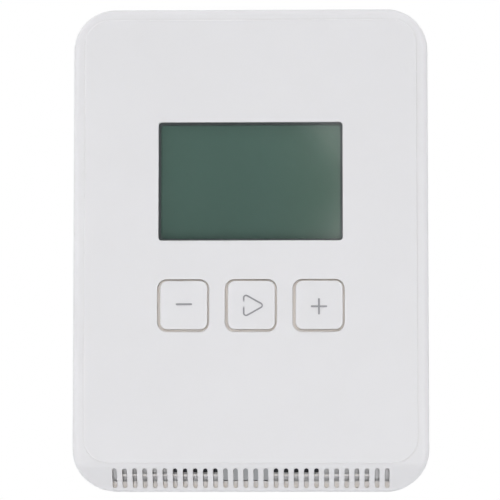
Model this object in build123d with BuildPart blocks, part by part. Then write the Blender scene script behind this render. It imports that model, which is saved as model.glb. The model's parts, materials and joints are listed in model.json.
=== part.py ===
from build123d import *
import os
from math import hypot

os.makedirs("parts", exist_ok=True)

# Wall thermostat. Millimetres, +Z up, front facing -Y, wall plane at y = 0.
# "Depth" is always the distance from the wall towards the viewer.

# Case outline and walls
case_width = 86.0
case_height = 117.0
case_depth = 25.4
corner_radius = 10.0
front_wall = 2.2
side_wall = 2.0
bottom_wall = 2.5
rim_radius = 1.6
back_edge_radius = 0.6
cut_over = 1.0

# Raised front panel and the slope that carries the air slots
panel_rise = 0.4
panel_root = 1.2
panel_inset = 2.7
panel_corner_radius = 6.0
panel_edge_radius = 0.25
opening_edge_radius = 0.2
panel_to_fold = 0.4
slope_height = 6.3
slope_setback = 5.0
slope_wall = 1.8
fold_radius = 3.0
slot_count = 28
slot_pitch = 2.434
slot_width = 1.1
slot_length = 4.67
slot_margin = 0.78
slot_blind = 1.7
tie_slots = 10
tie_step = 15
tie_rise = 0.72
tie_height = 0.5
tie_setback = 1.3
tie_thickness = 0.7
tie_overlap = 0.4

# Joint between the cover's skirt and the back shell
base_depth = 6.5
base_inset = 0.3
base_floor = 2.0
parting_gap = 0.4
lap_depth = 2.5
lap_wall = 0.9
lap_clearance = 0.2
lap_end_gap = 0.5

# Hinge hooks along the top edge
hinge_depth = 9.0
hinge_drop = 4.3
hinge_span = 48.0
bar_radius = 1.0
bar_clearance = 0.1
hook_wall = 1.1
hook_width = 6.0
hook_reach = 1.2
ear_wall = 0.9
ear_thickness = 1.5
ear_gap = 0.3
relief_below_hinge = 3.6

# Wall fixing and wire entries in the back shell; the entries and the lug sit left of the middle
wall_screw_spacing = 83.3
wall_slot_width = 4.4
wall_slot_length = 8.0
entry_x = -1.65
wire_entry_width = 9.8
wire_entry_height = 9.6
wire_entry_spacing = 24.8
wire_entry_rise = 5.6
grommet_clearance = 0.05
grommet_wall = 1.5
grommet_flange = 0.7
grommet_flange_thickness = 0.8

# Lock screw in its lug at the bottom
lug_width = 13.0
lug_height = 8.4
lug_depth = 13.0
lug_clearance = 0.3
lock_depth = 10.5
lock_radius = 1.45
lock_length = 6.0
lock_socket = 1.5
lock_socket_depth = 2.0
lock_recess = 0.3
thread_clearance = 0.1
lock_hole_clearance = 0.35

# Steel shield staked to the front of the lug
shield_thickness = 0.6
shield_drop = 0.06
shield_stake_spacing = 8.0
shield_stake_radius = 0.9
shield_stake_clearance = 0.1
shield_head_radius = 1.5
shield_head_height = 0.5

# Display window, lens and gasket
window_width = 44.6
window_height = 28.8
window_radius = 0.8
window_z = 16.3
lens_clearance = 0.1
lens_recess = 0.15
lens_flange = 2.0
lens_flange_thickness = 0.7
gasket_thickness = 0.4
gasket_show = 0.55
gasket_clearance = 0.1

# Display stack, from the front polariser back to the light guide
polariser_thickness = 0.2
polariser_border = 1.0
glass_thickness = 1.1
glass_side_border = 2.7
glass_ledge = 3.0
guide_thickness = 2.5
guide_end_gap = 2.2
holder_clearance = 0.15
holder_wall = 2.0
holder_lip = 0.4
holder_lip_overlap = 0.8
holder_ledge = 1.8
strip_thickness = 2.0
strip_end_gap = 2.0
lamp_size = 1.8
lamp_length = 3.0
lamp_spacing = 14.0
lamp_clearance = 0.2

# Keys and the plate that keeps them in the cover
key_count = 3
key_pitch = 16.35
key_x = 0.1
key_z = -13.88
key_opening_width = 12.5
key_opening_height = 12.7
key_opening_radius = 2.3
key_side_gap = 0.54
key_level_gap = 0.48
key_shift_x = 0.13
key_shift_z = 0.1
key_proud = 0.2
key_edge_radius = 0.3
key_shell = 1.2
key_flange = 1.0
key_flange_thickness = 1.0
key_flange_play = 0.05
key_stem_radius = 2.0
key_travel = 0.5
stem_hole_clearance = 1.0
legend_depth = 0.15
legend_stroke = 0.45
legend_arrow_stroke = 0.38
legend_bar = 3.95
legend_arrow_width = 5.61
legend_arrow_height = 6.29
legend_arrow_radius = 0.775
minus_shift = (0.05, 0.2)
arrow_shift = (0.76, -0.1)
plus_shift = (-0.06, -0.35)
retainer_thickness = 1.2
retainer_margin = 0.5
stake_radius = 1.3
stake_clearance = 0.05
stake_head_radius = 2.0
stake_head_height = 0.7
stake_offset = 2.6
stake_pair_height = 9.0

# Key switches on the board
switch_size = 6.2
switch_height = 3.5
switch_plate = 0.3
switch_floor = 1.0
switch_cavity_radius = 2.5
switch_leg_width = 0.7
switch_leg_length = 1.2
switch_leg_height = 0.3
switch_leg_spacing = 4.5
plunger_radius = 1.7
plunger_flange_radius = 2.2
plunger_flange_thickness = 0.6
plunger_clearance = 0.1
plunger_reach = 1.3
dome_radius = 2.3
dome_height = 0.8
dome_thickness = 0.12
touch_gap = 0.05

# Circuit board, its posts and screws
board_width = 74.0
board_top = 48.0
board_bottom = -36.0
board_standoff = 2.2
board_thickness = 1.6
board_corner_radius = 1.5
board_hole_width = 66.0
board_hole_height = 74.0
board_hole_radius = 1.3
notch_width = 13.0
notch_clearance = 0.7
tongue_width = 9.0
tongue_length = 13.5
tongue_x = -29.5
post_radius = 3.0
screw_radius = 1.1
screw_length = 7.0
screw_head_radius = 2.2
screw_head_height = 1.6
screw_cross = 2.4
screw_cross_width = 0.5
screw_cross_depth = 0.8

# Wiring terminals along the lower edge of the board
terminal_ways = 6
terminal_pitch = 5.0
terminal_end_wall = 0.25
terminal_height = 9.0
terminal_depth = 8.0
terminal_cell_width = 3.8
terminal_cell_depth = 4.0
terminal_cell_height = 6.0
terminal_cell_floor = 1.0
clamp_clearance = 0.2
clamp_height = 5.0
clamp_wall = 0.8
clamp_side_wall = 0.5
clamp_screw_radius = 1.0
clamp_screw_clearance = 0.05
clamp_screw_reach = 1.2
clamp_head_radius = 1.7
clamp_head_height = 1.5
clamp_head_clearance = 0.2
clamp_head_sink = 0.4
clamp_slot_width = 0.5
clamp_slot_depth = 0.6

# Parts soldered to the board
relay_width = 7.4
relay_length = 15.2
relay_height = 7.2
relay_edge = 0.4
relay_gap = 0.6
relay_spacing = 20.0
chip_size = 7.0
chip_height = 1.4
chip_pins = 12
chip_pin_pitch = 0.5
chip_x = -29.0
driver_length = 10.0
driver_width = 4.0
driver_height = 1.6
driver_pins = 8
driver_pin_pitch = 1.27
driver_x = 29.5
pin_share = 0.5
pin_length = 1.0
pin_height = 0.6
chip_edge = 0.25
crystal_length = 11.0
crystal_width = 4.6
crystal_height = 3.4
crystal_z = -22.6
regulator_length = 6.5
regulator_width = 3.5
regulator_height = 1.6
regulator_tab = 3.0
regulator_pin = 0.8
regulator_pin_pitch = 2.3
regulator_pins = 3
regulator_z = -23.5
rectifier_length = 8.5
rectifier_width = 6.4
rectifier_height = 3.2
fuse_radius = 4.2
fuse_height = 7.5
fuse_edge = 0.6
top_row_x = 18.0
top_row_z = 43.0
capacitor_radius = 4.0
capacitor_height = 7.8
capacitor_edge = 0.5
capacitor_groove = 0.25
capacitor_groove_height = 1.0
sensor_size = 3.0
sensor_height = 1.0
sensor_eye_radius = 0.7
sensor_eye_depth = 0.4
sensor_inset = 3.0

# Places worked out from the sizes above
case_top = case_height / 2
case_bottom = -case_height / 2
rim_depth = case_depth - panel_rise
inner_front = case_depth - front_wall
skirt_start = base_depth + parting_gap
fold_z = case_bottom + slope_height
panel_top = case_top - panel_inset
panel_bottom = fold_z + panel_to_fold
cavity_bottom = case_bottom + bottom_wall
slope_shift = slope_wall * hypot(slope_setback, slope_height) / slope_height
slope_per_mm = slope_setback / slope_height
slot_z = case_bottom + slot_margin + slot_length / 2
slot_low_depth = rim_depth - slope_per_mm * (fold_z - case_bottom - slot_margin)
tie_z = slot_z + tie_rise
tie_front = rim_depth - slope_per_mm * (fold_z - tie_z) - tie_setback
lip_inset = lap_wall + lap_clearance
hinge_z = case_top - hinge_drop
relief_z = hinge_z - relief_below_hinge
hook_bore = bar_radius + bar_clearance
hook_radius = hook_bore + hook_wall
ear_radius = bar_radius + ear_wall
lug_bottom = cavity_bottom + lug_clearance
lug_front = base_floor + lug_depth
lock_end = lug_bottom + lock_recess
shield_bottom = lug_bottom - shield_drop
shield_front = lug_front + shield_thickness
shield_stake_z = lug_bottom + lug_height / 2
wire_entry_z = case_bottom + wire_entry_rise + wire_entry_height / 2

lens_back = inner_front - lens_flange_thickness
gasket_back = lens_back - gasket_thickness
holder_front = gasket_back - gasket_clearance
glass_front = holder_front - holder_lip
glass_middle = glass_front - glass_thickness
glass_back = glass_middle - glass_thickness
guide_front = glass_back - polariser_thickness
guide_back = guide_front - guide_thickness
board_front = guide_back - board_standoff
board_back = board_front - board_thickness
glass_width = window_width + 2 * glass_side_border
rear_glass_height = window_height + 2 * polariser_border
front_glass_height = rear_glass_height + 2 * glass_ledge
guide_width = glass_width - 2 * guide_end_gap
pocket_width = glass_width + 2 * holder_clearance
pocket_height = front_glass_height + 2 * holder_clearance
holder_width = pocket_width + 2 * holder_wall
holder_height = pocket_height + 2 * holder_wall
holder_top = window_z + holder_height / 2

key_width = key_opening_width - 2 * key_side_gap
key_height = key_opening_height - 2 * key_level_gap
key_radius = key_opening_radius - key_side_gap
key_front = case_depth + key_proud
flange_front = inner_front - key_flange_play
flange_back = flange_front - key_flange_thickness
flange_size = key_opening_height + 2 * key_flange
flange_radius = key_opening_radius + key_flange
retainer_front = flange_back - key_travel - touch_gap
retainer_back = retainer_front - retainer_thickness
key_span = key_pitch * (key_count - 1)
stake_x = key_span / 2 + flange_size / 2 + stake_offset
switch_top = board_front + switch_height
plunger_front = switch_top + switch_plate + plunger_reach
dome_foot = board_front + switch_floor
dome_top = dome_foot + dome_height
plunger_back = dome_top + touch_gap
key_columns = [key_x + (i - (key_count - 1) / 2) * key_pitch for i in range(key_count)]
key_row = key_z + key_shift_z

board_hole_center_z = (board_top + board_bottom) / 2
terminal_width = terminal_ways * terminal_pitch + 2 * terminal_end_wall
terminal_front = board_front + terminal_depth
terminal_cell_back = board_front + terminal_cell_floor
terminal_cell_front = terminal_cell_back + terminal_cell_depth
clamp_width = terminal_cell_width - 2 * clamp_clearance
clamp_depth = terminal_cell_depth - 2 * clamp_clearance
clamp_back = terminal_cell_back + clamp_clearance
clamp_front = clamp_back + clamp_depth
clamp_z = board_bottom + terminal_cell_height / 2
clamp_head_front = terminal_front - clamp_head_sink
clamp_head_back = clamp_head_front - clamp_head_height
relay_x = holder_width / 2 + relay_gap + relay_width / 2
relay_upper_z = window_z + relay_spacing / 2
relay_lower_z = window_z - relay_spacing / 2
tongue_end = board_bottom - tongue_length


def facing(depth):
    """Plane parallel to the wall at a depth from it, with X to the right and Y up the case."""
    return Plane.XZ.offset(depth)


def side_on(x):
    """Plane across the case at x, whose X is the depth from the wall and whose Y is up."""
    return Plane(origin=(x, 0, 0), x_dir=(0, -1, 0), z_dir=(-1, 0, 0))


def save(piece, name):
    """Name a finished piece and write it."""
    piece.part.label = name
    export_step(piece.part, f"parts/{name}.step")


def sloped_block(width, bottom, top, radius, start, end, slope_low, slope_high):
    """Rounded block between two depths, with its lower front edge cut back to a slope."""
    with BuildPart() as block:
        with BuildSketch(facing(start)):
            with Locations((0, (top + bottom) / 2)):
                RectangleRounded(width, top - bottom, radius)
        extrude(amount=end - start)
        with BuildSketch(side_on(0)):
            with BuildLine():
                Polyline(
                    (start, bottom),
                    (slope_low, bottom),
                    (end, slope_high),
                    (end, top),
                    (start, top),
                    close=True,
                )
            make_face()
        extrude(amount=width, both=True, mode=Mode.INTERSECT)
    return block.part


# Front cover: sloped shell with a raised panel, window, key openings and air slots
with BuildPart() as front_cover:
    add(
        sloped_block(
            case_width,
            case_bottom,
            case_top,
            corner_radius,
            skirt_start,
            rim_depth,
            rim_depth - slope_setback,
            fold_z,
        )
    )
    level_edges = front_cover.edges().filter_by(Axis.X)
    fillet(level_edges.filter_by_position(Axis.Z, fold_z - rim_radius, fold_z + rim_radius), fold_radius)
    front_edges = front_cover.edges().filter_by(Axis.Y, reverse=True)
    front_edges = front_edges.filter_by_position(Axis.Y, -rim_depth - cut_over, -skirt_start - cut_over)
    inside_edges = front_edges.filter_by(Axis.X)
    inside_edges = inside_edges.filter_by_position(Axis.Z, case_bottom + rim_radius, case_top - rim_radius)
    fillet(front_edges - inside_edges, rim_radius)
    with BuildSketch(facing(rim_depth - panel_root)):
        with Locations((0, (panel_top + panel_bottom) / 2)):
            RectangleRounded(case_width - 2 * panel_inset, panel_top - panel_bottom, panel_corner_radius)
    extrude(amount=panel_root + panel_rise)
    fillet(front_cover.faces().sort_by(Axis.Y)[0].edges(), panel_edge_radius)
    add(
        sloped_block(
            case_width - 2 * side_wall,
            cavity_bottom,
            case_top - side_wall,
            corner_radius - side_wall,
            skirt_start,
            inner_front,
            rim_depth - slope_shift - slope_per_mm * (fold_z - cavity_bottom),
            fold_z + (inner_front - rim_depth + slope_shift) / slope_per_mm,
        ),
        mode=Mode.SUBTRACT,
    )
    # Thinned skirt that laps over the back shell, cut back along the top so that the cover can swing
    with BuildSketch(facing(skirt_start)):
        RectangleRounded(case_width - 2 * lap_wall, case_height - 2 * lap_wall, corner_radius - lap_wall)
    extrude(amount=lap_depth + lap_end_gap, mode=Mode.SUBTRACT)
    with BuildSketch(facing(skirt_start)):
        with Locations((0, relief_z)):
            Rectangle(case_width, case_height, align=(Align.CENTER, Align.MIN))
    extrude(amount=hinge_depth - skirt_start, mode=Mode.SUBTRACT)
    # Window, key openings and air slots
    with BuildSketch(facing(case_depth)):
        with Locations((0, window_z)):
            RectangleRounded(window_width, window_height, window_radius)
        with Locations((key_x, key_z)):
            with GridLocations(key_pitch, 0, key_count, 1):
                RectangleRounded(key_opening_width, key_opening_height, key_opening_radius)
    extrude(amount=-front_wall - cut_over, mode=Mode.SUBTRACT)
    for opening in front_cover.faces().sort_by(Axis.Y)[0].inner_wires():
        fillet(opening.edges(), opening_edge_radius)
    with BuildSketch(facing(case_depth)):
        with Locations((0, slot_z)):
            with GridLocations(slot_pitch, 0, slot_count, 1):
                SlotOverall(slot_length, slot_width, rotation=90)
    extrude(amount=slot_low_depth - slot_blind - case_depth, mode=Mode.SUBTRACT)
    # Tie bars set back in the air slots, one on each side of the lug
    with BuildSketch(facing(tie_front)):
        with Locations((-slot_pitch / 2, tie_z)):
            with GridLocations(tie_step * slot_pitch, 0, 2, 1):
                Rectangle((tie_slots - 1) * slot_pitch + slot_width + 2 * tie_overlap, tie_height)
    extrude(amount=-tie_thickness)
    # Hole under the lock screw
    with BuildSketch(Plane.XY.offset(case_bottom - cut_over)):
        with Locations((entry_x, -lock_depth)):
            Circle(lock_radius + lock_hole_clearance)
    extrude(amount=bottom_wall + 2 * cut_over, mode=Mode.SUBTRACT)
    # Hooks that hang on the bars of the back shell
    for side in (-1, 1):
        with BuildSketch(side_on(side * hinge_span / 2)):
            with Locations((hinge_depth, hinge_z)):
                Circle(hook_radius)
                Rectangle(2 * hook_radius, hook_reach, align=(Align.CENTER, Align.MAX))
                Rectangle(hook_radius, hinge_drop - side_wall / 2, align=(Align.MIN, Align.MIN))
                Circle(hook_bore, mode=Mode.SUBTRACT)
                Rectangle(
                    2 * hook_bore, hook_reach, align=(Align.CENTER, Align.MAX), mode=Mode.SUBTRACT
                )
        extrude(amount=hook_width / 2, both=True)
    # Stakes for the key retainer: a shoulder, a pin through the plate and a flattened head
    for start, end, radius in (
        (retainer_front, inner_front, stake_head_radius),
        (retainer_back, retainer_front, stake_radius),
        (retainer_back - stake_head_height, retainer_back, stake_head_radius),
    ):
        with BuildSketch(facing(start)):
            with Locations((key_x, key_z)):
                with GridLocations(2 * stake_x, stake_pair_height, 2, 2):
                    Circle(radius)
        extrude(amount=end - start)
save(front_cover, "front_cover")

# Display lens: clear block that fills the window, with a flange behind the front wall
with BuildPart() as display_lens:
    with BuildSketch(facing(lens_back)):
        with Locations((0, window_z)):
            RectangleRounded(
                window_width + 2 * lens_flange,
                window_height + 2 * lens_flange,
                window_radius + lens_flange,
            )
    extrude(amount=lens_flange_thickness)
    with BuildSketch(facing(inner_front)):
        with Locations((0, window_z)):
            RectangleRounded(
                window_width - 2 * lens_clearance,
                window_height - 2 * lens_clearance,
                window_radius - lens_clearance,
            )
    extrude(amount=front_wall - lens_recess)
save(display_lens, "display_lens")

# Display gasket: foam frame behind the lens
with BuildPart() as display_gasket:
    with BuildSketch(facing(gasket_back)):
        with Locations((0, window_z)):
            RectangleRounded(
                window_width + 2 * lens_flange,
                window_height + 2 * lens_flange,
                window_radius + lens_flange,
            )
            RectangleRounded(
                window_width - 2 * gasket_show,
                window_height - 2 * gasket_show,
                window_radius,
                mode=Mode.SUBTRACT,
            )
    extrude(amount=gasket_thickness)
save(display_gasket, "display_gasket")

# Key retainer: plate on the cover's stakes, with a hole for each key's stem
with BuildPart() as key_retainer:
    with BuildSketch(facing(retainer_back)):
        with Locations((key_x, key_z)):
            RectangleRounded(
                2 * (stake_x + stake_head_radius + retainer_margin),
                stake_pair_height + 2 * (stake_head_radius + retainer_margin),
                stake_head_radius,
            )
            with GridLocations(key_pitch, 0, key_count, 1):
                Circle(key_stem_radius + stem_hole_clearance, mode=Mode.SUBTRACT)
            with GridLocations(2 * stake_x, stake_pair_height, 2, 2):
                Circle(stake_radius + stake_clearance, mode=Mode.SUBTRACT)
    extrude(amount=retainer_thickness)
save(key_retainer, "key_retainer")


def minus_legend():
    """Bar of the minus sign."""
    SlotOverall(legend_bar, legend_stroke)


def plus_legend():
    """Two crossed bars."""
    SlotOverall(legend_bar, legend_stroke)
    SlotOverall(legend_bar, legend_stroke, rotation=90)


def arrow_legend():
    """Outline of an arrowhead that points to the right, with rounded corners."""
    left = -legend_arrow_width / 2
    Polygon((left, legend_arrow_height / 2), (left, -legend_arrow_height / 2), (-left, 0), align=None)
    fillet(vertices(), legend_arrow_radius)
    offset(amount=-legend_arrow_stroke, mode=Mode.SUBTRACT)


# Keys: hollow caps with a flange behind the front wall and a stem that reaches the switch
for name, x, legend, shift in zip(
    ("minus_key", "arrow_key", "plus_key"),
    key_columns,
    (minus_legend, arrow_legend, plus_legend),
    (minus_shift, arrow_shift, plus_shift),
):
    center = (x + key_shift_x, key_row)
    with BuildPart() as key:
        with BuildSketch(facing(flange_back)):
            with Locations(center):
                RectangleRounded(flange_size, flange_size, flange_radius)
        extrude(amount=key_flange_thickness)
        with BuildSketch(facing(flange_front)):
            with Locations(center):
                RectangleRounded(key_width, key_height, key_radius)
        extrude(amount=key_front - flange_front)
        fillet(key.faces().sort_by(Axis.Y)[0].edges(), key_edge_radius)
        with BuildSketch(facing(flange_back)):
            with Locations(center):
                RectangleRounded(key_width - 2 * key_shell, key_height - 2 * key_shell, key_radius)
        extrude(amount=key_front - key_shell - flange_back, mode=Mode.SUBTRACT)
        with BuildSketch(facing(plunger_front + touch_gap)):
            with Locations((x, key_z)):
                Circle(key_stem_radius)
        extrude(amount=key_front - key_shell - plunger_front - touch_gap)
        with BuildSketch(facing(key_front)):
            with Locations((center[0] + shift[0], center[1] + shift[1])):
                legend()
        extrude(amount=-legend_depth, mode=Mode.SUBTRACT)
    save(key, name)

# Back shell: floor, rim and lip, with posts, hinge bars, lock lug, wall slots and wire entries
with BuildPart() as wall_plate:
    with BuildSketch(facing(0)):
        RectangleRounded(
            case_width - 2 * base_inset, case_height - 2 * base_inset, corner_radius - base_inset
        )
    extrude(amount=base_depth)
    fillet(wall_plate.faces().sort_by(Axis.Y)[-1].edges(), back_edge_radius)
    with BuildSketch(facing(base_depth)):
        RectangleRounded(
            case_width - 2 * lip_inset, case_height - 2 * lip_inset, corner_radius - lip_inset
        )
    extrude(amount=lap_depth)
    with BuildSketch(facing(base_floor)):
        RectangleRounded(
            case_width - 2 * side_wall, case_height - 2 * side_wall, corner_radius - side_wall
        )
    extrude(amount=base_depth + lap_depth - base_floor, mode=Mode.SUBTRACT)
    with BuildSketch(facing(base_depth)):
        with Locations((0, relief_z)):
            Rectangle(case_width, case_height, align=(Align.CENTER, Align.MIN))
    extrude(amount=lap_depth, mode=Mode.SUBTRACT)
    # Board posts with pilot holes
    with BuildSketch(facing(base_floor)):
        with Locations((0, board_hole_center_z)):
            with GridLocations(board_hole_width, board_hole_height, 2, 2):
                Circle(post_radius)
    extrude(amount=board_back - base_floor)
    with BuildSketch(facing(board_back)):
        with Locations((0, board_hole_center_z)):
            with GridLocations(board_hole_width, board_hole_height, 2, 2):
                Circle(screw_radius + thread_clearance)
    extrude(amount=-screw_length, mode=Mode.SUBTRACT)
    # Hinge bars between their ears
    for side in (-1, 1):
        ear_reach = hook_width / 2 + ear_gap + ear_thickness
        with BuildSketch(side_on(side * hinge_span / 2)):
            with Locations((hinge_depth, hinge_z)):
                Circle(bar_radius)
        extrude(amount=ear_reach, both=True)
        for end in (-1, 1):
            with BuildSketch(side_on(side * hinge_span / 2 + end * (ear_reach - ear_thickness / 2))):
                with Locations((hinge_depth, hinge_z)):
                    Circle(ear_radius)
                    Rectangle(hinge_depth - base_floor, 2 * ear_radius, align=(Align.MAX, Align.CENTER))
            extrude(amount=ear_thickness / 2, both=True)
    # Lug for the lock screw
    with BuildSketch(facing(base_floor)):
        with Locations((entry_x, lug_bottom)):
            Rectangle(lug_width, lug_height, align=(Align.CENTER, Align.MIN))
    extrude(amount=lug_depth)
    with BuildSketch(Plane.XY.offset(lug_bottom)):
        with Locations((entry_x, -lock_depth)):
            Circle(lock_radius + thread_clearance)
    extrude(amount=lug_height, mode=Mode.SUBTRACT)
    # Stakes that hold the shield on the lug
    for start, end, radius in (
        (lug_front, shield_front, shield_stake_radius),
        (shield_front, shield_front + shield_head_height, shield_head_radius),
    ):
        with BuildSketch(facing(start)):
            with Locations((entry_x, shield_stake_z)):
                with GridLocations(shield_stake_spacing, 0, 2, 1):
                    Circle(radius)
        extrude(amount=end - start)
    # Wall screw slots and wire entries through the floor
    with BuildSketch(facing(0)):
        with GridLocations(0, wall_screw_spacing, 1, 2):
            SlotOverall(wall_slot_length, wall_slot_width, rotation=90)
        with Locations((entry_x, wire_entry_z)):
            with GridLocations(wire_entry_spacing, 0, 2, 1):
                Rectangle(wire_entry_width, wire_entry_height)
    extrude(amount=base_floor, mode=Mode.SUBTRACT)
save(wall_plate, "wall_plate")

# Entry grommets: rubber frames that line the wire entries, with a flange on the floor
with BuildPart() as entry_grommets:
    for start, end, margin in (
        (0, base_floor, -grommet_clearance),
        (base_floor, base_floor + grommet_flange_thickness, grommet_flange),
    ):
        with BuildSketch(facing(start)):
            with Locations((entry_x, wire_entry_z)):
                with GridLocations(wire_entry_spacing, 0, 2, 1):
                    Rectangle(wire_entry_width + 2 * margin, wire_entry_height + 2 * margin)
                    Rectangle(
                        wire_entry_width - 2 * grommet_wall,
                        wire_entry_height - 2 * grommet_wall,
                        mode=Mode.SUBTRACT,
                    )
        extrude(amount=end - start)
save(entry_grommets, "entry_grommets")

# Lug shield: steel plate behind the middle air slots
with BuildPart() as lug_shield:
    with BuildSketch(facing(lug_front)):
        with Locations((entry_x, shield_bottom)):
            Rectangle(lug_width, lug_height, align=(Align.CENTER, Align.MIN))
        with Locations((entry_x, shield_stake_z)):
            with GridLocations(shield_stake_spacing, 0, 2, 1):
                Circle(shield_stake_radius + shield_stake_clearance, mode=Mode.SUBTRACT)
    extrude(amount=shield_thickness)
save(lug_shield, "lug_shield")

# Lock screw: headless, with a hexagon socket facing down
with BuildPart() as lock_screw:
    with BuildSketch(Plane.XY.offset(lock_end)):
        with Locations((entry_x, -lock_depth)):
            Circle(lock_radius)
            RegularPolygon(lock_socket / 2, 6, major_radius=False, mode=Mode.SUBTRACT)
    extrude(amount=lock_socket_depth)
    with BuildSketch(Plane.XY.offset(lock_end + lock_socket_depth)):
        with Locations((entry_x, -lock_depth)):
            Circle(lock_radius)
    extrude(amount=lock_length - lock_socket_depth)
save(lock_screw, "lock_screw")

# Circuit board with a notch over the upper wall slot and a tongue that carries the sensor
with BuildPart() as circuit_board:
    with BuildSketch(facing(board_back)):
        with Locations((0, (board_top + board_bottom) / 2)):
            RectangleRounded(board_width, board_top - board_bottom, board_corner_radius)
        with Locations((tongue_x, board_bottom + board_corner_radius)):
            Rectangle(tongue_width, tongue_length + board_corner_radius, align=(Align.CENTER, Align.MAX))
        with Locations((0, holder_top + notch_clearance)):
            Rectangle(
                notch_width, board_top, align=(Align.CENTER, Align.MIN), mode=Mode.SUBTRACT
            )
        with Locations((0, board_hole_center_z)):
            with GridLocations(board_hole_width, board_hole_height, 2, 2):
                Circle(board_hole_radius, mode=Mode.SUBTRACT)
    extrude(amount=board_thickness)
save(circuit_board, "circuit_board")

# Board screws: round heads with a cross recess
with BuildPart() as board_screws:
    for start, end, radius in (
        (board_front - screw_length, board_front, screw_radius),
        (board_front, board_front + screw_head_height, screw_head_radius),
    ):
        with BuildSketch(facing(start)):
            with Locations((0, board_hole_center_z)):
                with GridLocations(board_hole_width, board_hole_height, 2, 2):
                    Circle(radius)
        extrude(amount=end - start)
    head_faces = board_screws.faces().filter_by(Axis.Y).group_by(Axis.Y)[0]
    fillet(head_faces.edges(), screw_head_height / 2)
    with BuildSketch(facing(board_front + screw_head_height)):
        with Locations((0, board_hole_center_z)):
            with GridLocations(board_hole_width, board_hole_height, 2, 2):
                Rectangle(screw_cross, screw_cross_width)
                Rectangle(screw_cross_width, screw_cross)
    extrude(amount=-screw_cross_depth, mode=Mode.SUBTRACT)
save(board_screws, "board_screws")

# Display holder: frame on the board around the display stack
with BuildPart() as display_holder:
    with BuildSketch(facing(board_front)):
        with Locations((0, window_z)):
            RectangleRounded(holder_width, holder_height, holder_wall)
            Rectangle(pocket_width, pocket_height, mode=Mode.SUBTRACT)
    extrude(amount=glass_front - board_front)
    with BuildSketch(facing(glass_front)):
        with Locations((0, window_z)):
            RectangleRounded(holder_width, holder_height, holder_wall)
            Rectangle(
                glass_width - 2 * holder_lip_overlap,
                front_glass_height - 2 * holder_lip_overlap,
                mode=Mode.SUBTRACT,
            )
    extrude(amount=holder_lip)
    with BuildSketch(facing(board_front)):
        with Locations((0, window_z)):
            Rectangle(pocket_width, lamp_spacing / 2)
            Rectangle(pocket_width - 2 * (guide_end_gap + holder_ledge), lamp_spacing, mode=Mode.SUBTRACT)
    extrude(amount=guide_back - board_front)
save(display_holder, "display_holder")


def display_layer(width, height, start, thickness):
    """Plain rectangular layer of the display, behind the window's middle."""
    with BuildPart() as layer:
        with BuildSketch(facing(start)):
            with Locations((0, window_z)):
                Rectangle(width, height)
        extrude(amount=thickness)
    return layer


# Display stack from front to back
polariser_width = window_width + 2 * polariser_border
for name, width, height, start, thickness in (
    ("front_polariser", polariser_width, rear_glass_height, glass_front, polariser_thickness),
    ("front_glass", glass_width, front_glass_height, glass_middle, glass_thickness),
    ("rear_glass", glass_width, rear_glass_height, glass_back, glass_thickness),
    ("rear_polariser", polariser_width, rear_glass_height, guide_front, polariser_thickness),
    ("light_guide", guide_width, rear_glass_height, guide_back, guide_thickness),
):
    save(display_layer(width, height, start, thickness), name)

# Contact strips between the front glass ledges and the board
for name, side in (("upper_contact_strip", 1), ("lower_contact_strip", -1)):
    with BuildPart() as strip:
        with BuildSketch(facing(board_front)):
            with Locations((0, window_z + side * (rear_glass_height + glass_ledge) / 2)):
                Rectangle(glass_width - 2 * strip_end_gap, strip_thickness)
        extrude(amount=glass_middle - board_front)
    save(strip, name)

# Lamps that shine into the light guide's ends
with BuildPart() as guide_lamps:
    with BuildSketch(facing(board_front)):
        with Locations((0, window_z)):
            with GridLocations(guide_width + lamp_size + 2 * lamp_clearance, lamp_spacing, 2, 2):
                Rectangle(lamp_size, lamp_length)
    extrude(amount=(guide_front + guide_back) / 2 - board_front)
save(guide_lamps, "guide_lamps")

# Key switches: bodies with a round well and four legs
with BuildPart() as switch_bodies:
    with BuildSketch(facing(board_front)):
        with Locations((key_x, key_z)):
            with GridLocations(key_pitch, 0, key_count, 1):
                Rectangle(switch_size, switch_size)
    extrude(amount=switch_height)
    with BuildSketch(facing(dome_foot)):
        with Locations((key_x, key_z)):
            with GridLocations(key_pitch, 0, key_count, 1):
                Circle(switch_cavity_radius)
    extrude(amount=switch_height, mode=Mode.SUBTRACT)
    with BuildSketch(facing(board_front)):
        for x in key_columns:
            with Locations((x, key_z)):
                with GridLocations(switch_size + switch_leg_length, switch_leg_spacing, 2, 2):
                    Rectangle(switch_leg_length, switch_leg_width)
    extrude(amount=switch_leg_height)
save(switch_bodies, "switch_bodies")

# Metal plates over the switch wells
with BuildPart() as switch_plates:
    with BuildSketch(facing(switch_top)):
        with Locations((key_x, key_z)):
            with GridLocations(key_pitch, 0, key_count, 1):
                Rectangle(switch_size, switch_size)
                Circle(plunger_radius + plunger_clearance, mode=Mode.SUBTRACT)
    extrude(amount=switch_plate)
save(switch_plates, "switch_plates")


def dome_arc(radius, height):
    """Half of a shallow cap's section, from its crown to its edge, in radius and depth."""
    shoulder = (radius / 2, dome_foot + height * 3 / 4)
    return ThreePointArc((0, dome_foot + height), shoulder, (radius, dome_foot))


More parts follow.
